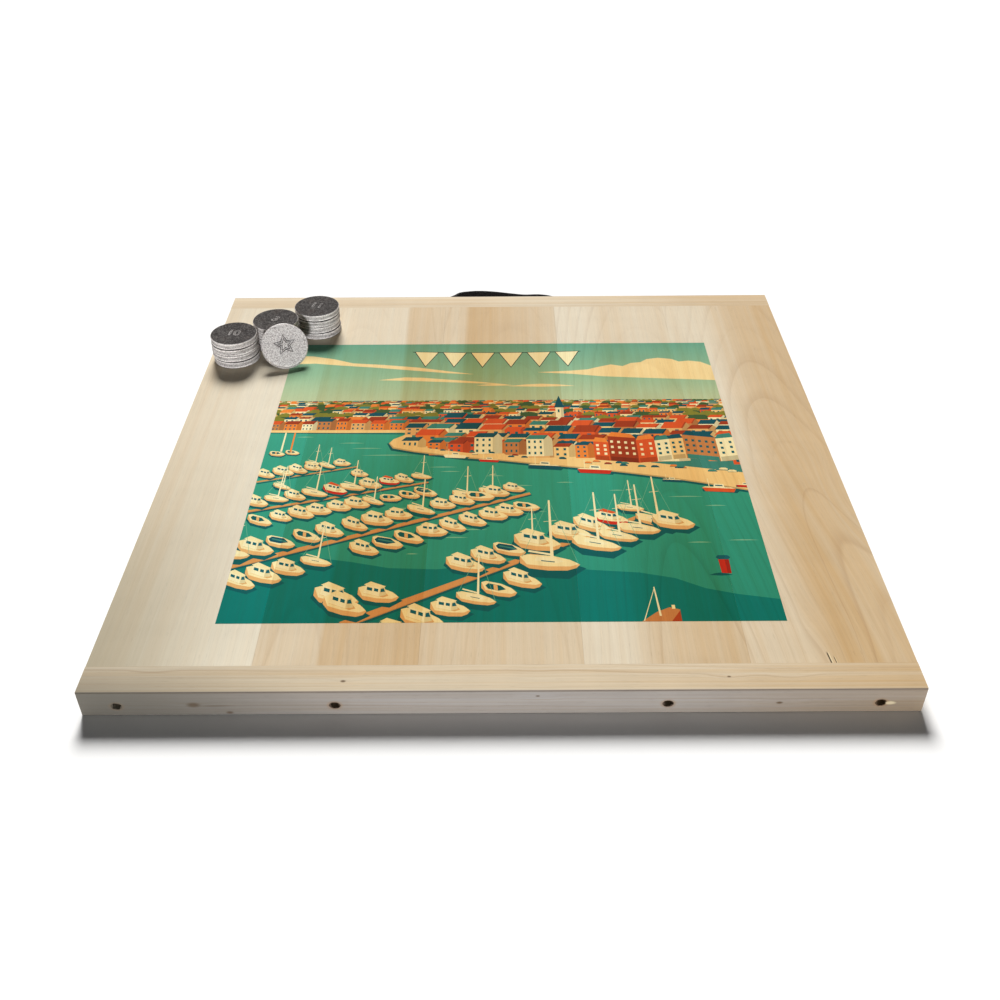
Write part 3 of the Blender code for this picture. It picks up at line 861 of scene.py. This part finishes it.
def moored_boat(picture, x, y, length, kind, heading):
    """A boat seen from above, bow along heading. kind is cruiser, open, covered, red or sail."""
    ahead = Vector((math.cos(heading), math.sin(heading))) * length
    base = Vector((x, y))

    def at(u, v):
        return base + ahead * u + Vector((0, length * v))

    def shape(colour, *outline, broad=1.0):
        picture.paint(colour, *[at(u, v * broad) for u, v in outline])

    broad = 0.74 if kind == "sail" else 1.0
    shape(SHADE, (-0.56, -0.20), (-0.30, -0.42), (0.36, -0.37), (0.68, -0.04), (0.3, 0.1), (-0.5, 0))
    shape(
        RED if kind == "red" else HULL, (-0.50, 0.15), (0.46, 0.16), (0.57, 0.06), (0.50, -0.08),
        (0.34, -0.20), (0.0, -0.27), (-0.34, -0.26), (-0.50, -0.10), broad=broad,
    )
    shape(
        DECK, (-0.50, 0.15), (-0.36, 0.25), (0.10, 0.28), (0.40, 0.20), (0.55, 0.08), (0.40, -0.04),
        (0.0, -0.12), (-0.38, -0.12), broad=broad,
    )
    if kind == "open":
        shape(SHADE, (-0.38, 0.05), (-0.3, 0.17), (0.08, 0.20), (0.24, 0.09), (0.02, -0.04), (-0.3, -0.06))
        shape(HULL, (-0.14, 0.17), (-0.02, 0.18), (0.0, -0.03), (-0.12, -0.04))
    elif kind == "covered":
        shape(
            DARK_ROOF, (-0.42, 0.05), (-0.32, 0.20), (0.12, 0.25), (0.30, 0.11), (0.02, -0.04), (-0.34, -0.06)
        )
        picture.stroke(TEAL_ROOF, at(-0.3, 0.09), at(0.22, 0.12), 0.06 * length)
    elif kind == "sail":
        shape(CREAM_INK, (-0.24, 0.03), (0.16, 0.02), (0.30, 0.09), (0.1, 0.16), (-0.2, 0.15))
        shape(GLASS, (-0.12, 0.035), (0.12, 0.035), (0.13, 0.06), (-0.12, 0.06))
        foot, head = at(0.08, 0.08), at(0.08, 1.83)
        picture.stroke(GLINT, head, at(0.54, 0.08), 0.35)
        picture.stroke(GLINT, head, at(-0.46, 0.1), 0.35)
        picture.stroke(CREAM_INK, foot, head, 0.060 * length, 0.035 * length)
        picture.stroke(CREAM_INK, at(0.08, 0.24), at(-0.34, 0.28), 0.05 * length)
        spreader = Vector((0.12, 0.02)) * length
        middle = at(0.08, 1.20)
        picture.stroke(CREAM_INK, middle - spreader, middle + spreader, 0.6)
    else:
        shape(shaded(HULL, 0.92), (-0.36, -0.03), (0.16, -0.05), (0.30, 0.05), (0.20, 0.16), (-0.32, 0.16))
        shape(CREAM_INK, (-0.36, -0.02), (0.06, -0.04), (0.06, 0.29), (-0.32, 0.30))
        shape(shaded(DECK, 0.80), (0.06, -0.04), (0.24, 0.06), (0.17, 0.36), (0.06, 0.29))
        shape(VERMILION if kind == "red" else DECK, (-0.37, 0.29), (0.07, 0.27), (0.21, 0.37), (-0.20, 0.45))
        for left, right in ((-0.28, -0.14), (-0.09, 0.02)):
            shape(GLASS, (left, 0.12), (right, 0.115), (right, 0.225), (left, 0.23))
        shape(GLASS, (0.08, 0.12), (0.20, 0.17), (0.155, 0.29), (0.08, 0.24))


# Jetties, as (start, end, width at the start and the end, share of berths above and below it).
JETTIES = (
    ((-251, -60), (-150, -34), 2.0, 1.6, 0.9, 0.5),
    ((-251, -109), (-74, -62), 3.4, 2.2, 0.95, 0.95),
    ((-262, -196), (30, -82), 7.0, 3.4, 0.95, 0.95),
    ((-140, -272), (138, -120), 9.5, 5.0, 0.85, 0.9),
)
BERTH_KINDS = ("cruiser", "cruiser", "cruiser", "open", "sail", "covered", "cruiser", "red")
# Boats placed one by one, as (x, y, length, kind).
CHOSEN_BOATS = (
    (44, -190, 54, "sail"), (90, -163, 42, "sail"), (112, -151, 40, "sail"), (133, -140, 40, "sail"),
    (152, -128, 38, "sail"), (-36, -84, 28, "sail"), (-10, -79, 26, "sail"), (-150, -236, 46, "cruiser"),
    (168, -130, 42, "cruiser"), (66, -146, 40, "cruiser"), (88, -134, 36, "cruiser"), (108, -124, 34, "red"),
    (34, -160, 42, "cruiser"), (-222, -8, 16, "open"), (-238, -10, 15, "open"), (-196, -29, 19, "sail"),
)


def berths(pick, start, end, width, above, below):
    """Boats along both sides of a jetty, as (x, y, length, kind)."""
    for side, share in ((1, above), (-1, below)):
        travelled = pick.uniform(4, 12)
        while travelled < (end - start).length:
            spot = start + (end - start).normalized() * travelled
            length = 9 + (94 - spot.y) * 0.086
            if pick.random() < share:
                kind = pick.choice(BERTH_KINDS)
                if kind == "red" and pick.random() < 0.6:
                    kind = "cruiser"
                berth = Vector((-0.14, 0.43) if side > 0 else (0.32, -0.56)) * length
                middle = spot + berth + Vector((0, side * width * 0.45))
                yield middle.x, middle.y, length, kind
            travelled += length * pick.uniform(0.66, 0.84)


def marina(picture):
    pick = picture.random
    boats = []
    for start, end, start_width, end_width, above, below in JETTIES:
        start, end = Vector(start), Vector(end)
        picture.stroke(SHADE, start + Vector((1, -3)), end + Vector((1, -2)), start_width, end_width)
        picture.stroke(PLANKING, start, end, start_width, end_width)
        edge = start - Vector((0, start_width / 2)), end - Vector((0, end_width / 2))
        picture.stroke(shaded(PLANKING, 0.72), *edge, 0.9)
        boats += berths(pick, start, end, start_width, above, below)
    boats = [boat for boat in boats if not (30 < boat[0] < 170 and boat[1] < -118)]
    boats += CHOSEN_BOATS
    for x, y, length, kind in sorted(boats, key=lambda boat: -boat[1]):
        moored_boat(picture, x, y, length * pick.uniform(0.88, 1.10), kind, pick.uniform(-0.44, -0.16))
    for x, colour in ((-234, CREAM_INK), (-224, ORANGE)):
        picture.stroke(colour, (x, -6), (x, 30), 2.0, 1.6)


def buoy_and_dinghy(picture):
    picture.lens(SHADE, 203, -208, 22, 3.4)
    picture.paint(RED, (204, -205), (213, -206), (213.5, -184), (203.5, -184))
    picture.paint(shaded(RED, 0.6), (209.5, -205.6), (213, -206), (213.5, -184), (209.5, -184))
    picture.paint(GLASS, (201.5, -183), (204, -186), (213, -186), (215.5, -183), (213, -180), (204, -180))
    picture.paint(BROWN, (124, -269), (138, -257), (150, -251), (159, -254), (159, -269))
    picture.paint(shaded(VERMILION, 0.6), (150, -269), (159, -255), (159, -269))
    picture.stroke(CREAM_INK, (141, -262), (139, -224), 2.0, 1.0)
    picture.stroke(CREAM_INK, (126, -268), (139, -226), 0.9, 0.5)
    picture.box(DECK, 152, -253, 155, -248)


def paint_harbour():
    picture = Picture(seed=5)
    scenes = (
        sky, bunting, town, waterfront, harbour_water, quayside, corner_block, road_and_quay_edge, marina,
        buoy_and_dinghy,
    )
    for scene in scenes:
        scene(picture)
    return picture


def print_strips():
    """The strip of the print on each plank, as (left, right) in millimetres."""
    seams = [LEFT / MM + PLANK_WIDTH / MM * k for k in range(PLANKS + 1)]
    for left, right in zip(seams, seams[1:]):
        yield max(left + PRINT_SEAM / 2, PRINT_X[0]), min(right - PRINT_SEAM / 2, PRINT_X[1])


def make_print(material):
    """The picture as one thin layer of ink on each plank, flat-coloured face by face."""
    shapes = paint_harbour().shapes
    low, high = PRINT_Y
    strips = [((a, low), (b, low), (b, high), (a, high)) for a, b in print_strips()]
    points, faces = [], []
    for outline in strips + [outline for _, outline in shapes]:
        faces.append(list(range(len(points), len(points) + len(outline))))
        points += [Vector(point) for point in outline]
    verts, _, cells, _, _, sources = delaunay_2d_cdt(points, [], faces, 1, 0.01, True)
    for number in range(len(strips)):
        kept = []
        for cell, source in zip(cells, sources):
            top = max(source, default=0)
            if number in source and top >= len(strips):
                kept.append((cell, shapes[top - len(strips)][0]))
        add_ink_layer(f"print_on_plank_{number + 1}", verts, kept, material)


def add_ink_layer(name, verts, kept, material):
    """Closes the cells kept of the overlay, each with its ink, into a layer with an underside and edges."""
    used = sorted({index for cell, _ in kept for index in cell})
    order = {index: k for k, index in enumerate(used)}
    count = len(used)
    places = [(verts[i].x * MM, verts[i].y * MM, height) for height in (INK_HIGH, INK_LOW) for i in used]
    faces, colours, edges = [], [], {}
    for cell, colour in kept:
        top = [order[index] for index in cell]
        faces += [top, [k + count for k in reversed(top)]]
        colours += [colour, colour]
        for a, b in zip(top, top[1:] + top[:1]):
            edges[(a, b)] = colour
    for (a, b), colour in edges.items():
        if (b, a) not in edges:
            faces.append([b, a, a + count, b + count])
            colours.append(colour)
    mesh = bpy.data.meshes.new(name)
    mesh.from_pydata(places, [], faces)
    mesh.materials.append(material)
    corner_colours(mesh, "ink", lambda place, polygon: tint_at(colours[polygon.index], place.y / MM))
    attach(add_object(name, mesh), "board", "poplar_plank")


# ---------------------------------------------------------------- board

SEAM = 0.00006  # glue line between two planks
SEAM_ARRIS = 0.00010
BOARD_ARRIS = 0.0005
BATTEN_ARRIS = 0.0008
TONGUE = 0.008
HOLE_RADIUS = 0.0034
HOLE_DEPTH = 0.0105
SCREW_CLEARANCE = 0.0027
OUTSIDE = 0.004  # how far a cutter stands out of the wood
TEAR_DEPTH = 0.006
HANDLE_HOLE = ((0, -OUTSIDE), (0.0023, -OUTSIDE), (0.0023, 0.0215), (0, 0.0235))
# The front batten's right upper corner is chipped: the cutter's corners, from that corner.
CHIP = ((0.002, -0.002, -0.0055), (-0.0060, -0.002, 0.002), (0.002, 0.0045, 0.002), (0.002, -0.002, 0.002))


def box_mesh(low, high):
    bm = bmesh.new()
    bmesh.ops.create_cube(bm, size=1)
    low, high = Vector(low), Vector(high)
    bm.transform(Matrix.Translation((low + high) / 2) @ Matrix.Diagonal((*(high - low), 1)))
    return bm


def into_edge(x, z, end):
    """Local Z runs inwards from the outer face of the front (-1) or the rear (+1) edge."""
    turn = Matrix.Rotation(end * math.pi / 2, 4, "X")
    return Matrix.Translation((x, REAR if end > 0 else FRONT, z)) @ turn


def ragged(seed, amount):
    """A ripple for a drilled hole's mouth, where the fibres tore."""

    def ripple(point):
        depth = max(0.0, 1 - abs(point.z) / TEAR_DEPTH)
        pull = noise.noise(Vector((point.x * 420, point.y * 420, seed * 3.7))) * amount * depth
        return point * (1 + pull) if point.length else point

    return ripple


def make_batten(name, end, material):
    bm = box_mesh(*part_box(name))
    outer = [vert for vert in bm.verts if abs(vert.co.y) > REAR - 0.001]
    eased = [edge for edge in bm.edges if edge.verts[0] in outer and edge.verts[1] in outer]
    bmesh.ops.bevel(bm, geom=eased, offset=BATTEN_ARRIS, segments=3, affect="EDGES", profile=0.6)
    piece = to_object(f"{name}_wood", bm, material)
    cutters = bmesh.new()
    far = BATTEN_WIDTH + OUTSIDE
    hole = (
        (0, -OUTSIDE), (HOLE_RADIUS * 1.12, -OUTSIDE), (HOLE_RADIUS * 1.08, 0.0006), (HOLE_RADIUS, 0.0020),
        (HOLE_RADIUS, HOLE_DEPTH), (SCREW_CLEARANCE, HOLE_DEPTH), (SCREW_CLEARANCE, far), (0, far),
    )
    for number, x in enumerate(SCREW_X):
        turned(cutters, hole, 28, into_edge(x, SCREW_Z, end), ragged(number + 10 * end, 0.55))
    if end > 0:
        for x in HANDLE_SCREW_X:
            turned(cutters, HANDLE_HOLE, 20, into_edge(x, STRAP_Z, end))
    subtract(piece, to_object("hole_cutters", cutters, material))
    if end < 0:
        chip = bmesh.new()
        for step in CHIP:
            chip.verts.new(Vector((RIGHT, FRONT, TOP)) + Vector(step))
        bmesh.ops.convex_hull(chip, input=chip.verts)
        subtract(piece, to_object("chip_cutter", chip, material))
    smooth(piece.data)
    attach(piece, "board", "poplar_batten", name)


def plank_outline(index):
    """Cross-section in X and Z, with a groove on the left edge and a tongue on the right one."""
    first, last = index == 0, index == PLANKS - 1
    left = LEFT + index * PLANK_WIDTH + (0 if first else SEAM / 2)
    right = LEFT + (index + 1) * PLANK_WIDTH - (0 if last else SEAM / 2)
    left_soft = BOARD_ARRIS if first else SEAM_ARRIS
    right_soft = BOARD_ARRIS if last else SEAM_ARRIS
    low, high = TOP / 2 - TONGUE / 2, TOP / 2 + TONGUE / 2
    points = [(left + left_soft, 0), (right - right_soft, 0), (right, right_soft)]
    if not last:
        points += [(right, low), (right + TONGUE, low), (right + TONGUE, high), (right, high)]
    points += [(right, TOP - right_soft), (right - right_soft, TOP)]
    points += [(left + left_soft, TOP), (left, TOP - left_soft)]
    if not first:
        floor = left + TONGUE + 0.001
        points += [(left, high + SEAM), (floor, high + SEAM), (floor, low - SEAM), (left, low - SEAM)]
    points.append((left, left_soft))
    return points


def skin(bm, rings):
    """Faces between neighbouring rings of vertices, and over both ends."""
    for low, high in zip(rings, rings[1:]):
        for k in range(len(low)):
            after = (k + 1) % len(low)
            bm.faces.new((low[k], low[after], high[after], high[k]))
    bm.faces.new(rings[0])
    bm.faces.new(rings[-1][::-1])


def make_plank(index, material):
    """The plank glued tight to its neighbours, which the CAD's clearance can't show."""
    near, far = FRONT + BATTEN_WIDTH + SEAM, REAR - BATTEN_WIDTH - SEAM
    bm = bmesh.new()
    skin(bm, [[bm.verts.new((x, y, z)) for x, z in plank_outline(index)] for y in (near, far)])
    name = f"plank_{index + 1}"
    attach(to_object(f"{name}_wood", bm, material), "board", "poplar_plank", name)


def make_board():
    wood = plank_material()
    for index in range(PLANKS):
        make_plank(index, wood)
    batten_wood = batten_material()
    make_batten("front_batten", -1, batten_wood)
    make_batten("rear_batten", 1, batten_wood)
    zinc = steel_material("zinc_screw_look", rgb(214, 208, 188), rgb(150, 142, 118), 0.34, 1.0)
    for edge in ("front", "rear"):
        for number in range(1, len(SCREW_X) + 1):
            repaint(f"{edge}_batten_screw_{number}", zinc)
    make_print(ink_material())


def repaint(node, material):
    """Gives a CAD node its finished material."""
    for slot in bpy.data.objects[node].material_slots:
        slot.material = material


# ---------------------------------------------------------------- handle

HANDLE_SCREW_X = (-0.076, 0.080)
STRAP_WIDTH = 0.024
STRAP_THICKNESS = 0.0024
STRAP_Z = TOP / 2
STRAP_STEPS = 7
STRAP_GAP = 0.0003  # between the webbing and what it lies on
STRAP_ROUTE = (
    (-0.0880, 0.0015), (-0.0760, 0.0015), (-0.0670, 0.0016), (-0.0600, 0.0070), (-0.0535, 0.0140),
    (-0.0420, 0.0175), (-0.0270, 0.0188), (-0.0080, 0.0166), (0.0130, 0.0115), (0.0320, 0.0075),
    (0.0500, 0.0080), (0.0620, 0.0056), (0.0710, 0.0018), (0.0800, 0.0015), (0.0920, 0.0015),
)
STRAP_SPLIT = 7  # route point where the two halves meet
BEND_STARTS = (-0.067, 0.071)  # where the strap leaves the batten, left and right
WASHER_SEAT = 0.0015 + STRAP_THICKNESS / 2 + STRAP_GAP  # out of the batten's face
SCREW_SEAT = -WASHER_SEAT - 0.0015


def smooth_through(points, steps):
    """A Catmull-Rom curve through the points, kept off the batten's face."""
    line = [Vector(point) for point in points]
    padded = [2 * line[0] - line[1], *line, 2 * line[-1] - line[-2]]
    curve = []
    for a, b, c, d in zip(padded, padded[1:], padded[2:], padded[3:]):
        for k in range(steps):
            t = k / steps
            swing = (c - a) * t + (2 * a - 5 * b + 4 * c - d) * t**2 + (3 * b - a - 3 * c + d) * t**3
            curve.append(0.5 * (2 * b + swing))
    curve.append(line[-1])
    for point in curve:
        point.y = max(point.y, STRAP_THICKNESS / 2 + STRAP_GAP)
    return curve


def strap_section():
    """Outline of the webbing's section as (across the thickness, along the width)."""
    half, wide, soft = STRAP_THICKNESS / 2, STRAP_WIDTH / 2, 0.0009
    upper = [(half, -wide + soft), (half, -wide / 2), (half, 0), (half, wide / 2), (half, wide - soft)]
    upper += [(half - 0.35 * soft, wide - 0.25 * soft), (0.0, wide)]
    return upper + [(-a, -b) for a, b in upper[:-1]] + [(0.0, -wide)]


def make_strap_half(side, middle, first, last, material, start):
    section = strap_section()
    bm = bmesh.new()
    rings = []
    for k in range(first, last + 1):
        along = (middle[min(k + 1, len(middle) - 1)] - middle[max(k - 1, 0)]).normalized()
        out = Vector((-along.y, along.x))
        places = [(middle[k] + out * across, width) for across, width in section]
        rings.append([bm.verts.new((place.x, REAR + place.y, STRAP_Z + width)) for place, width in places])
    skin(bm, rings)
    piece = to_object(f"handle_webbing_{side}", bm, material, 50)
    lengths = [0.0]
    for before, after in zip(middle, middle[1:]):
        lengths.append(lengths[-1] + (after - before).length)
    layer = piece.data.color_attributes.new("along", "FLOAT_COLOR", "POINT")
    for k, point in enumerate(layer.data):
        point.color = grey(lengths[first + k // len(section)])
    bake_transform(piece)
    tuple(start)
    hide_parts("handle_strap")


def make_washer(side, place, material):
    seat = -WASHER_SEAT
    dish = (
        (0.0026, seat), (0.0080, seat), (0.0080, seat - 0.0003), (0.0072, seat - 0.0008),
        (0.0056, seat - 0.0011), (0.0044, seat - 0.0012), (0.0034, seat - 0.0011), (0.0026, seat - 0.0007),
    )
    bm = bmesh.new()
    turned(bm, dish, 48, place, closed=True)
    washer = to_object(f"handle_washer_{side}_steel", bm, material, 40)
    attach(washer, "board", "black_steel", f"handle_washer_{side}")


def make_handle_screw(side, place, material):
    """A pan-head screw with a cross recess."""
    seat = SCREW_SEAT
    profile = (
        (0, seat - 0.0026), (0.0016, seat - 0.00255), (0.0027, seat - 0.0022), (0.0036, seat - 0.0015),
        (0.0041, seat - 0.0008), (0.0042, seat - 0.0003), (0.0041, seat), (0.0020, seat),
        (0.0020, seat + 0.020), (0, seat + 0.024),
    )
    bm = bmesh.new()
    turned(bm, profile, 40, place)
    screw = to_object(f"handle_screw_{side}_steel", bm, material)
    for wide, tall in ((0.0040, 0.0009), (0.0009, 0.0040)):
        recess = box_mesh((-wide / 2, -tall / 2, seat - 0.004), (wide / 2, tall / 2, seat - 0.0011))
        recess.transform(place @ Matrix.Rotation(math.radians(18), 4, "Z"))
        subtract(screw, to_object("recess_cutter", recess, material))
    smooth(screw.data)
    attach(screw, "board", "black_steel", f"handle_screw_{side}")


def make_handle():
    webbing = webbing_material()
    middle = smooth_through(STRAP_ROUTE, STRAP_STEPS)
    split = STRAP_SPLIT * STRAP_STEPS
    meet = (middle[split].x, REAR + middle[split].y, STRAP_Z)
    left_start, right_start = ((x, meet[1], STRAP_Z) for x in BEND_STARTS)
    make_strap_half("left", middle, 0, split, webbing, left_start)
    make_strap_half("right", middle, split, len(middle) - 1, webbing, right_start)
    black = steel_material("black_steel_look", rgb(48, 48, 52), rgb(20, 20, 24), 0.40, 0.7)
    for side, x in zip(("left", "right"), HANDLE_SCREW_X):
        place = into_edge(x, STRAP_Z, 1)
        make_washer(side, place, black)
        make_handle_screw(side, place, black)


# ---------------------------------------------------------------- discs

DISC_HALF = 0.004
LEAN_SLOPE = math.radians(41)
LEAN_HEADING = math.radians(20)
# Cast number and its turn in degrees, for each disc from the board up.
STACKS = {
    "left": ((4, 40), (7, 160), (1, -70), (10, -8)),
    "middle": ((9, 15), (2, 95), (12, 200), (3, -28)),
    "right": ((6, 120), (5, -35), (8, 75), (11, -14)),
}
NUMBER_SIZE = 0.0165
MARK_RADIUS = 0.0130
BEAD_RADIUS = 0.00048
# How bright each part of a disc is, from 0 for cast skin to 1 for blasted metal, painted light included:
# the rims and numbers carry painted highlights, the leaning disc's face is lit up, and the star is painted
# shade.
SKIN_WEAR = 0.04
RIM_HIGHLIGHT_WEAR = 0.50
NUMBER_HIGHLIGHT_WEAR = 0.42
LIT_FACE_WEAR = 1.1
STAR_SHADE_WEAR = -0.25


def disc_profile():
    """Half section from the lower pole to the upper one, with a waist between two raised rims."""
    upper = (
        (0.0, 1.0), (4.0, 1.0), (8.0, 1.0), (12.0, 1.0), (16.0, 1.0), (20.0, 1.0), (23.5, 1.0), (25.6, 0.995),
        (26.5, 0.97), (27.1, 0.90), (27.4, 0.78), (27.45, 0.62), (27.15, 0.45), (26.85, 0.25), (26.75, 0.08),
    )
    top = [(radius * MM, height * DISC_HALF) for radius, height in upper]
    return [(radius, -height) for radius, height in top] + top[::-1]


def disc_ripple(seed):
    """The slight unevenness of a sand casting."""

    def ripple(point):
        spot = Vector((point.x * 90, point.y * 90, point.z * 260 + seed * 5.1))
        rough = noise.noise(spot) * 0.6 + noise.noise(spot * 3.1) * 0.4
        flat = Vector((point.x, point.y, 0))
        if flat.length > 0.026:
            flat = flat * (1 - 0.015 * max(0.0, rough))
        return Vector((flat.x, flat.y, point.z * (1 - 0.010 * max(0.0, -rough))))

    return ripple


def make_disc(node, matrix, seed, bright_face, material):
    bm = bmesh.new()
    turned(bm, disc_profile(), 96, Matrix.Identity(4), disc_ripple(seed))
    piece = to_object(f"{node}_iron", bm, material, 60)

    def wear(place, _):
        edge = abs(place.z) / DISC_HALF
        # Sides are bright, brightest just under the rims and darker at the waist, against dark tops: partly
        # rubbed metal, partly painted highlight and painted shade.
        if math.hypot(place.x, place.y) > 0.0262 and edge < 0.93:
            return grey(RIM_HIGHLIGHT_WEAR if edge > 0.80 else 0.46 + 0.56 * max(0.0, (edge - 0.30) / 0.5))
        return grey(LIT_FACE_WEAR if place.z > 0 and bright_face else SKIN_WEAR)

    corner_colours(piece.data, "wear", wear)
    piece.data.transform(matrix)
    attach(piece, node, "cast_iron", node)


def outline_relief(name, curve, matrix, value, node, material):
    """A curve's outline as a fine raised bead on a disc's face."""
    curve.bevel_depth = BEAD_RADIUS
    curve.bevel_resolution = 2
    source = add_object("outline_source", curve)
    mesh = baked(source)
    bpy.data.objects.remove(source)
    mesh.materials.clear()
    mesh.materials.append(material)
    corner_colours(mesh, "wear", lambda *_: grey(value))
    mesh.transform(matrix)
    mesh.shade_smooth()
    attach(add_object(name, mesh), node, "cast_iron")


def number_curve(number):
    curve = bpy.data.curves.new("cast_number", "FONT")
    curve.body = str(number)
    curve.size = NUMBER_SIZE
    curve.align_x = "CENTER"
    curve.align_y = "CENTER"
    curve.fill_mode = "NONE"
    curve.dimensions = "3D"
    curve.resolution_u = 6
    return curve


def star_curve():
    """Two nested five-pointed outlines, a plain mark of no one's."""
    curve = bpy.data.curves.new("star", "CURVE")
    curve.dimensions = "3D"
    for outer in (MARK_RADIUS, 0.62 * MARK_RADIUS):
        spline = curve.splines.new("POLY")
        spline.points.add(9)
        spline.use_cyclic_u = True
        for k, point in enumerate(spline.points):
            angle = math.pi / 2 + math.pi * k / 5
            reach = outer if k % 2 == 0 else 0.45 * outer
            point.co = (reach * math.cos(angle), reach * math.sin(angle), 0, 1)
    return curve


def at_centre(node):
    low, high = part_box(node)
    return Matrix.Translation((Vector(low) + Vector(high)) / 2)


def leaning_turn():
    heading = Vector((math.sin(LEAN_HEADING), -math.cos(LEAN_HEADING), 0))
    normal = heading * math.sin(LEAN_SLOPE) + Vector((0, 0, math.cos(LEAN_SLOPE)))
    uphill = Vector((0, 0, math.sin(LEAN_SLOPE))) - heading * math.cos(LEAN_SLOPE)
    return Matrix((uphill.cross(normal), uphill, normal)).transposed().to_4x4()


def make_discs():
    iron = iron_material()
    face = Matrix.Translation((0, 0, DISC_HALF + 0.00002))
    seed = 0
    for stack, numbers in STACKS.items():
        for level, (number, degrees) in enumerate(numbers, 1):
            node = f"disc_{stack}_{level}"
            place = at_centre(node) @ Matrix.Rotation(math.radians(degrees), 4, "Z")
            make_disc(node, place, seed, False, iron)
            # The numbers' beads are lit up as painted highlights.
            outline_relief(f"{node}_number", number_curve(number), place @ face, NUMBER_HIGHLIGHT_WEAR, node, iron)
            seed += 1
    place = at_centre("disc_leaning") @ leaning_turn()
    make_disc("disc_leaning", place @ Matrix.Rotation(0.3, 4, "Z"), seed, True, iron)
    # The star's beads are dark: painted shade, as of an engraved line.
    outline_relief("disc_leaning_star", star_curve(), place @ face, STAR_SHADE_WEAR, "disc_leaning", iron)


# ---------------------------------------------------------------- studio

CAMERA_PLACE = (0.0017, -0.9707, 0.7004)
CAMERA_TURNS = ((0.150, "Z"), (90 - 37.488, "X"), (-0.414, "Z"))  # yaw, pitch and roll in degrees
FLOOR_GAP = 0.0003


def make_floor():
    bm = bmesh.new()
    bmesh.ops.create_grid(bm, x_segments=8, y_segments=8, size=9)
    floor = to_object("floor", bm, floor_material())
    floor.location.z = -FLOOR_GAP


def make_lights():
    scene = bpy.context.scene
    scene.view_settings.view_transform = "Standard"
    world = bpy.data.worlds.new("studio")
    world.use_nodes = True
    nodes = world.node_tree.nodes
    link = world.node_tree.links.new
    dim = nodes["Background"]
    dim.inputs["Color"].default_value = (0.97, 0.98, 1.0, 1)
    dim.inputs["Strength"].default_value = 0.04
    # The backdrop beyond the floor is white to look at and adds no light of its own.
    backdrop = nodes.new("ShaderNodeBackground")
    backdrop.inputs["Color"].default_value = grey(1.0)
    looked_at = nodes.new("ShaderNodeLightPath")
    choice = nodes.new("ShaderNodeMixShader")
    link(looked_at.outputs["Is Camera Ray"], choice.inputs["Fac"])
    link(dim.outputs["Background"], choice.inputs[1])
    link(backdrop.outputs["Background"], choice.inputs[2])
    link(choice.outputs["Shader"], nodes["World Output"].inputs["Surface"])
    scene.world = world
    add_sun("key", (-0.13, 1.22, 1.0), 5.5, 22, (1.0, 0.99, 0.972))
    add_sun("front_fill", (0.08, -1.0, 0.035), 3.0, 6, (0.96, 0.98, 1.0))


def add_sun(name, towards, strength, spread, colour):
    """A broad, soft lamp far away in the direction given; spread is in degrees."""
    lamp = bpy.data.lights.new(name, "SUN")
    lamp.energy = strength
    lamp.angle = math.radians(spread)
    lamp.color = colour
    add_object(name, lamp).rotation_euler = Vector(towards).to_track_quat("Z", "Y").to_euler()


def make_camera():
    lens = bpy.data.cameras.new("camera")
    lens.sensor_width = 36
    lens.lens = 39.67
    camera = add_object("camera", lens)
    place = Matrix.Translation(CAMERA_PLACE)
    for degrees, axis in CAMERA_TURNS:
        place = place @ Matrix.Rotation(math.radians(degrees), 4, axis)
    camera.matrix_world = place
    bpy.context.scene.camera = camera


make_camera()
make_lights()
make_floor()
make_board()
make_handle()
make_discs()
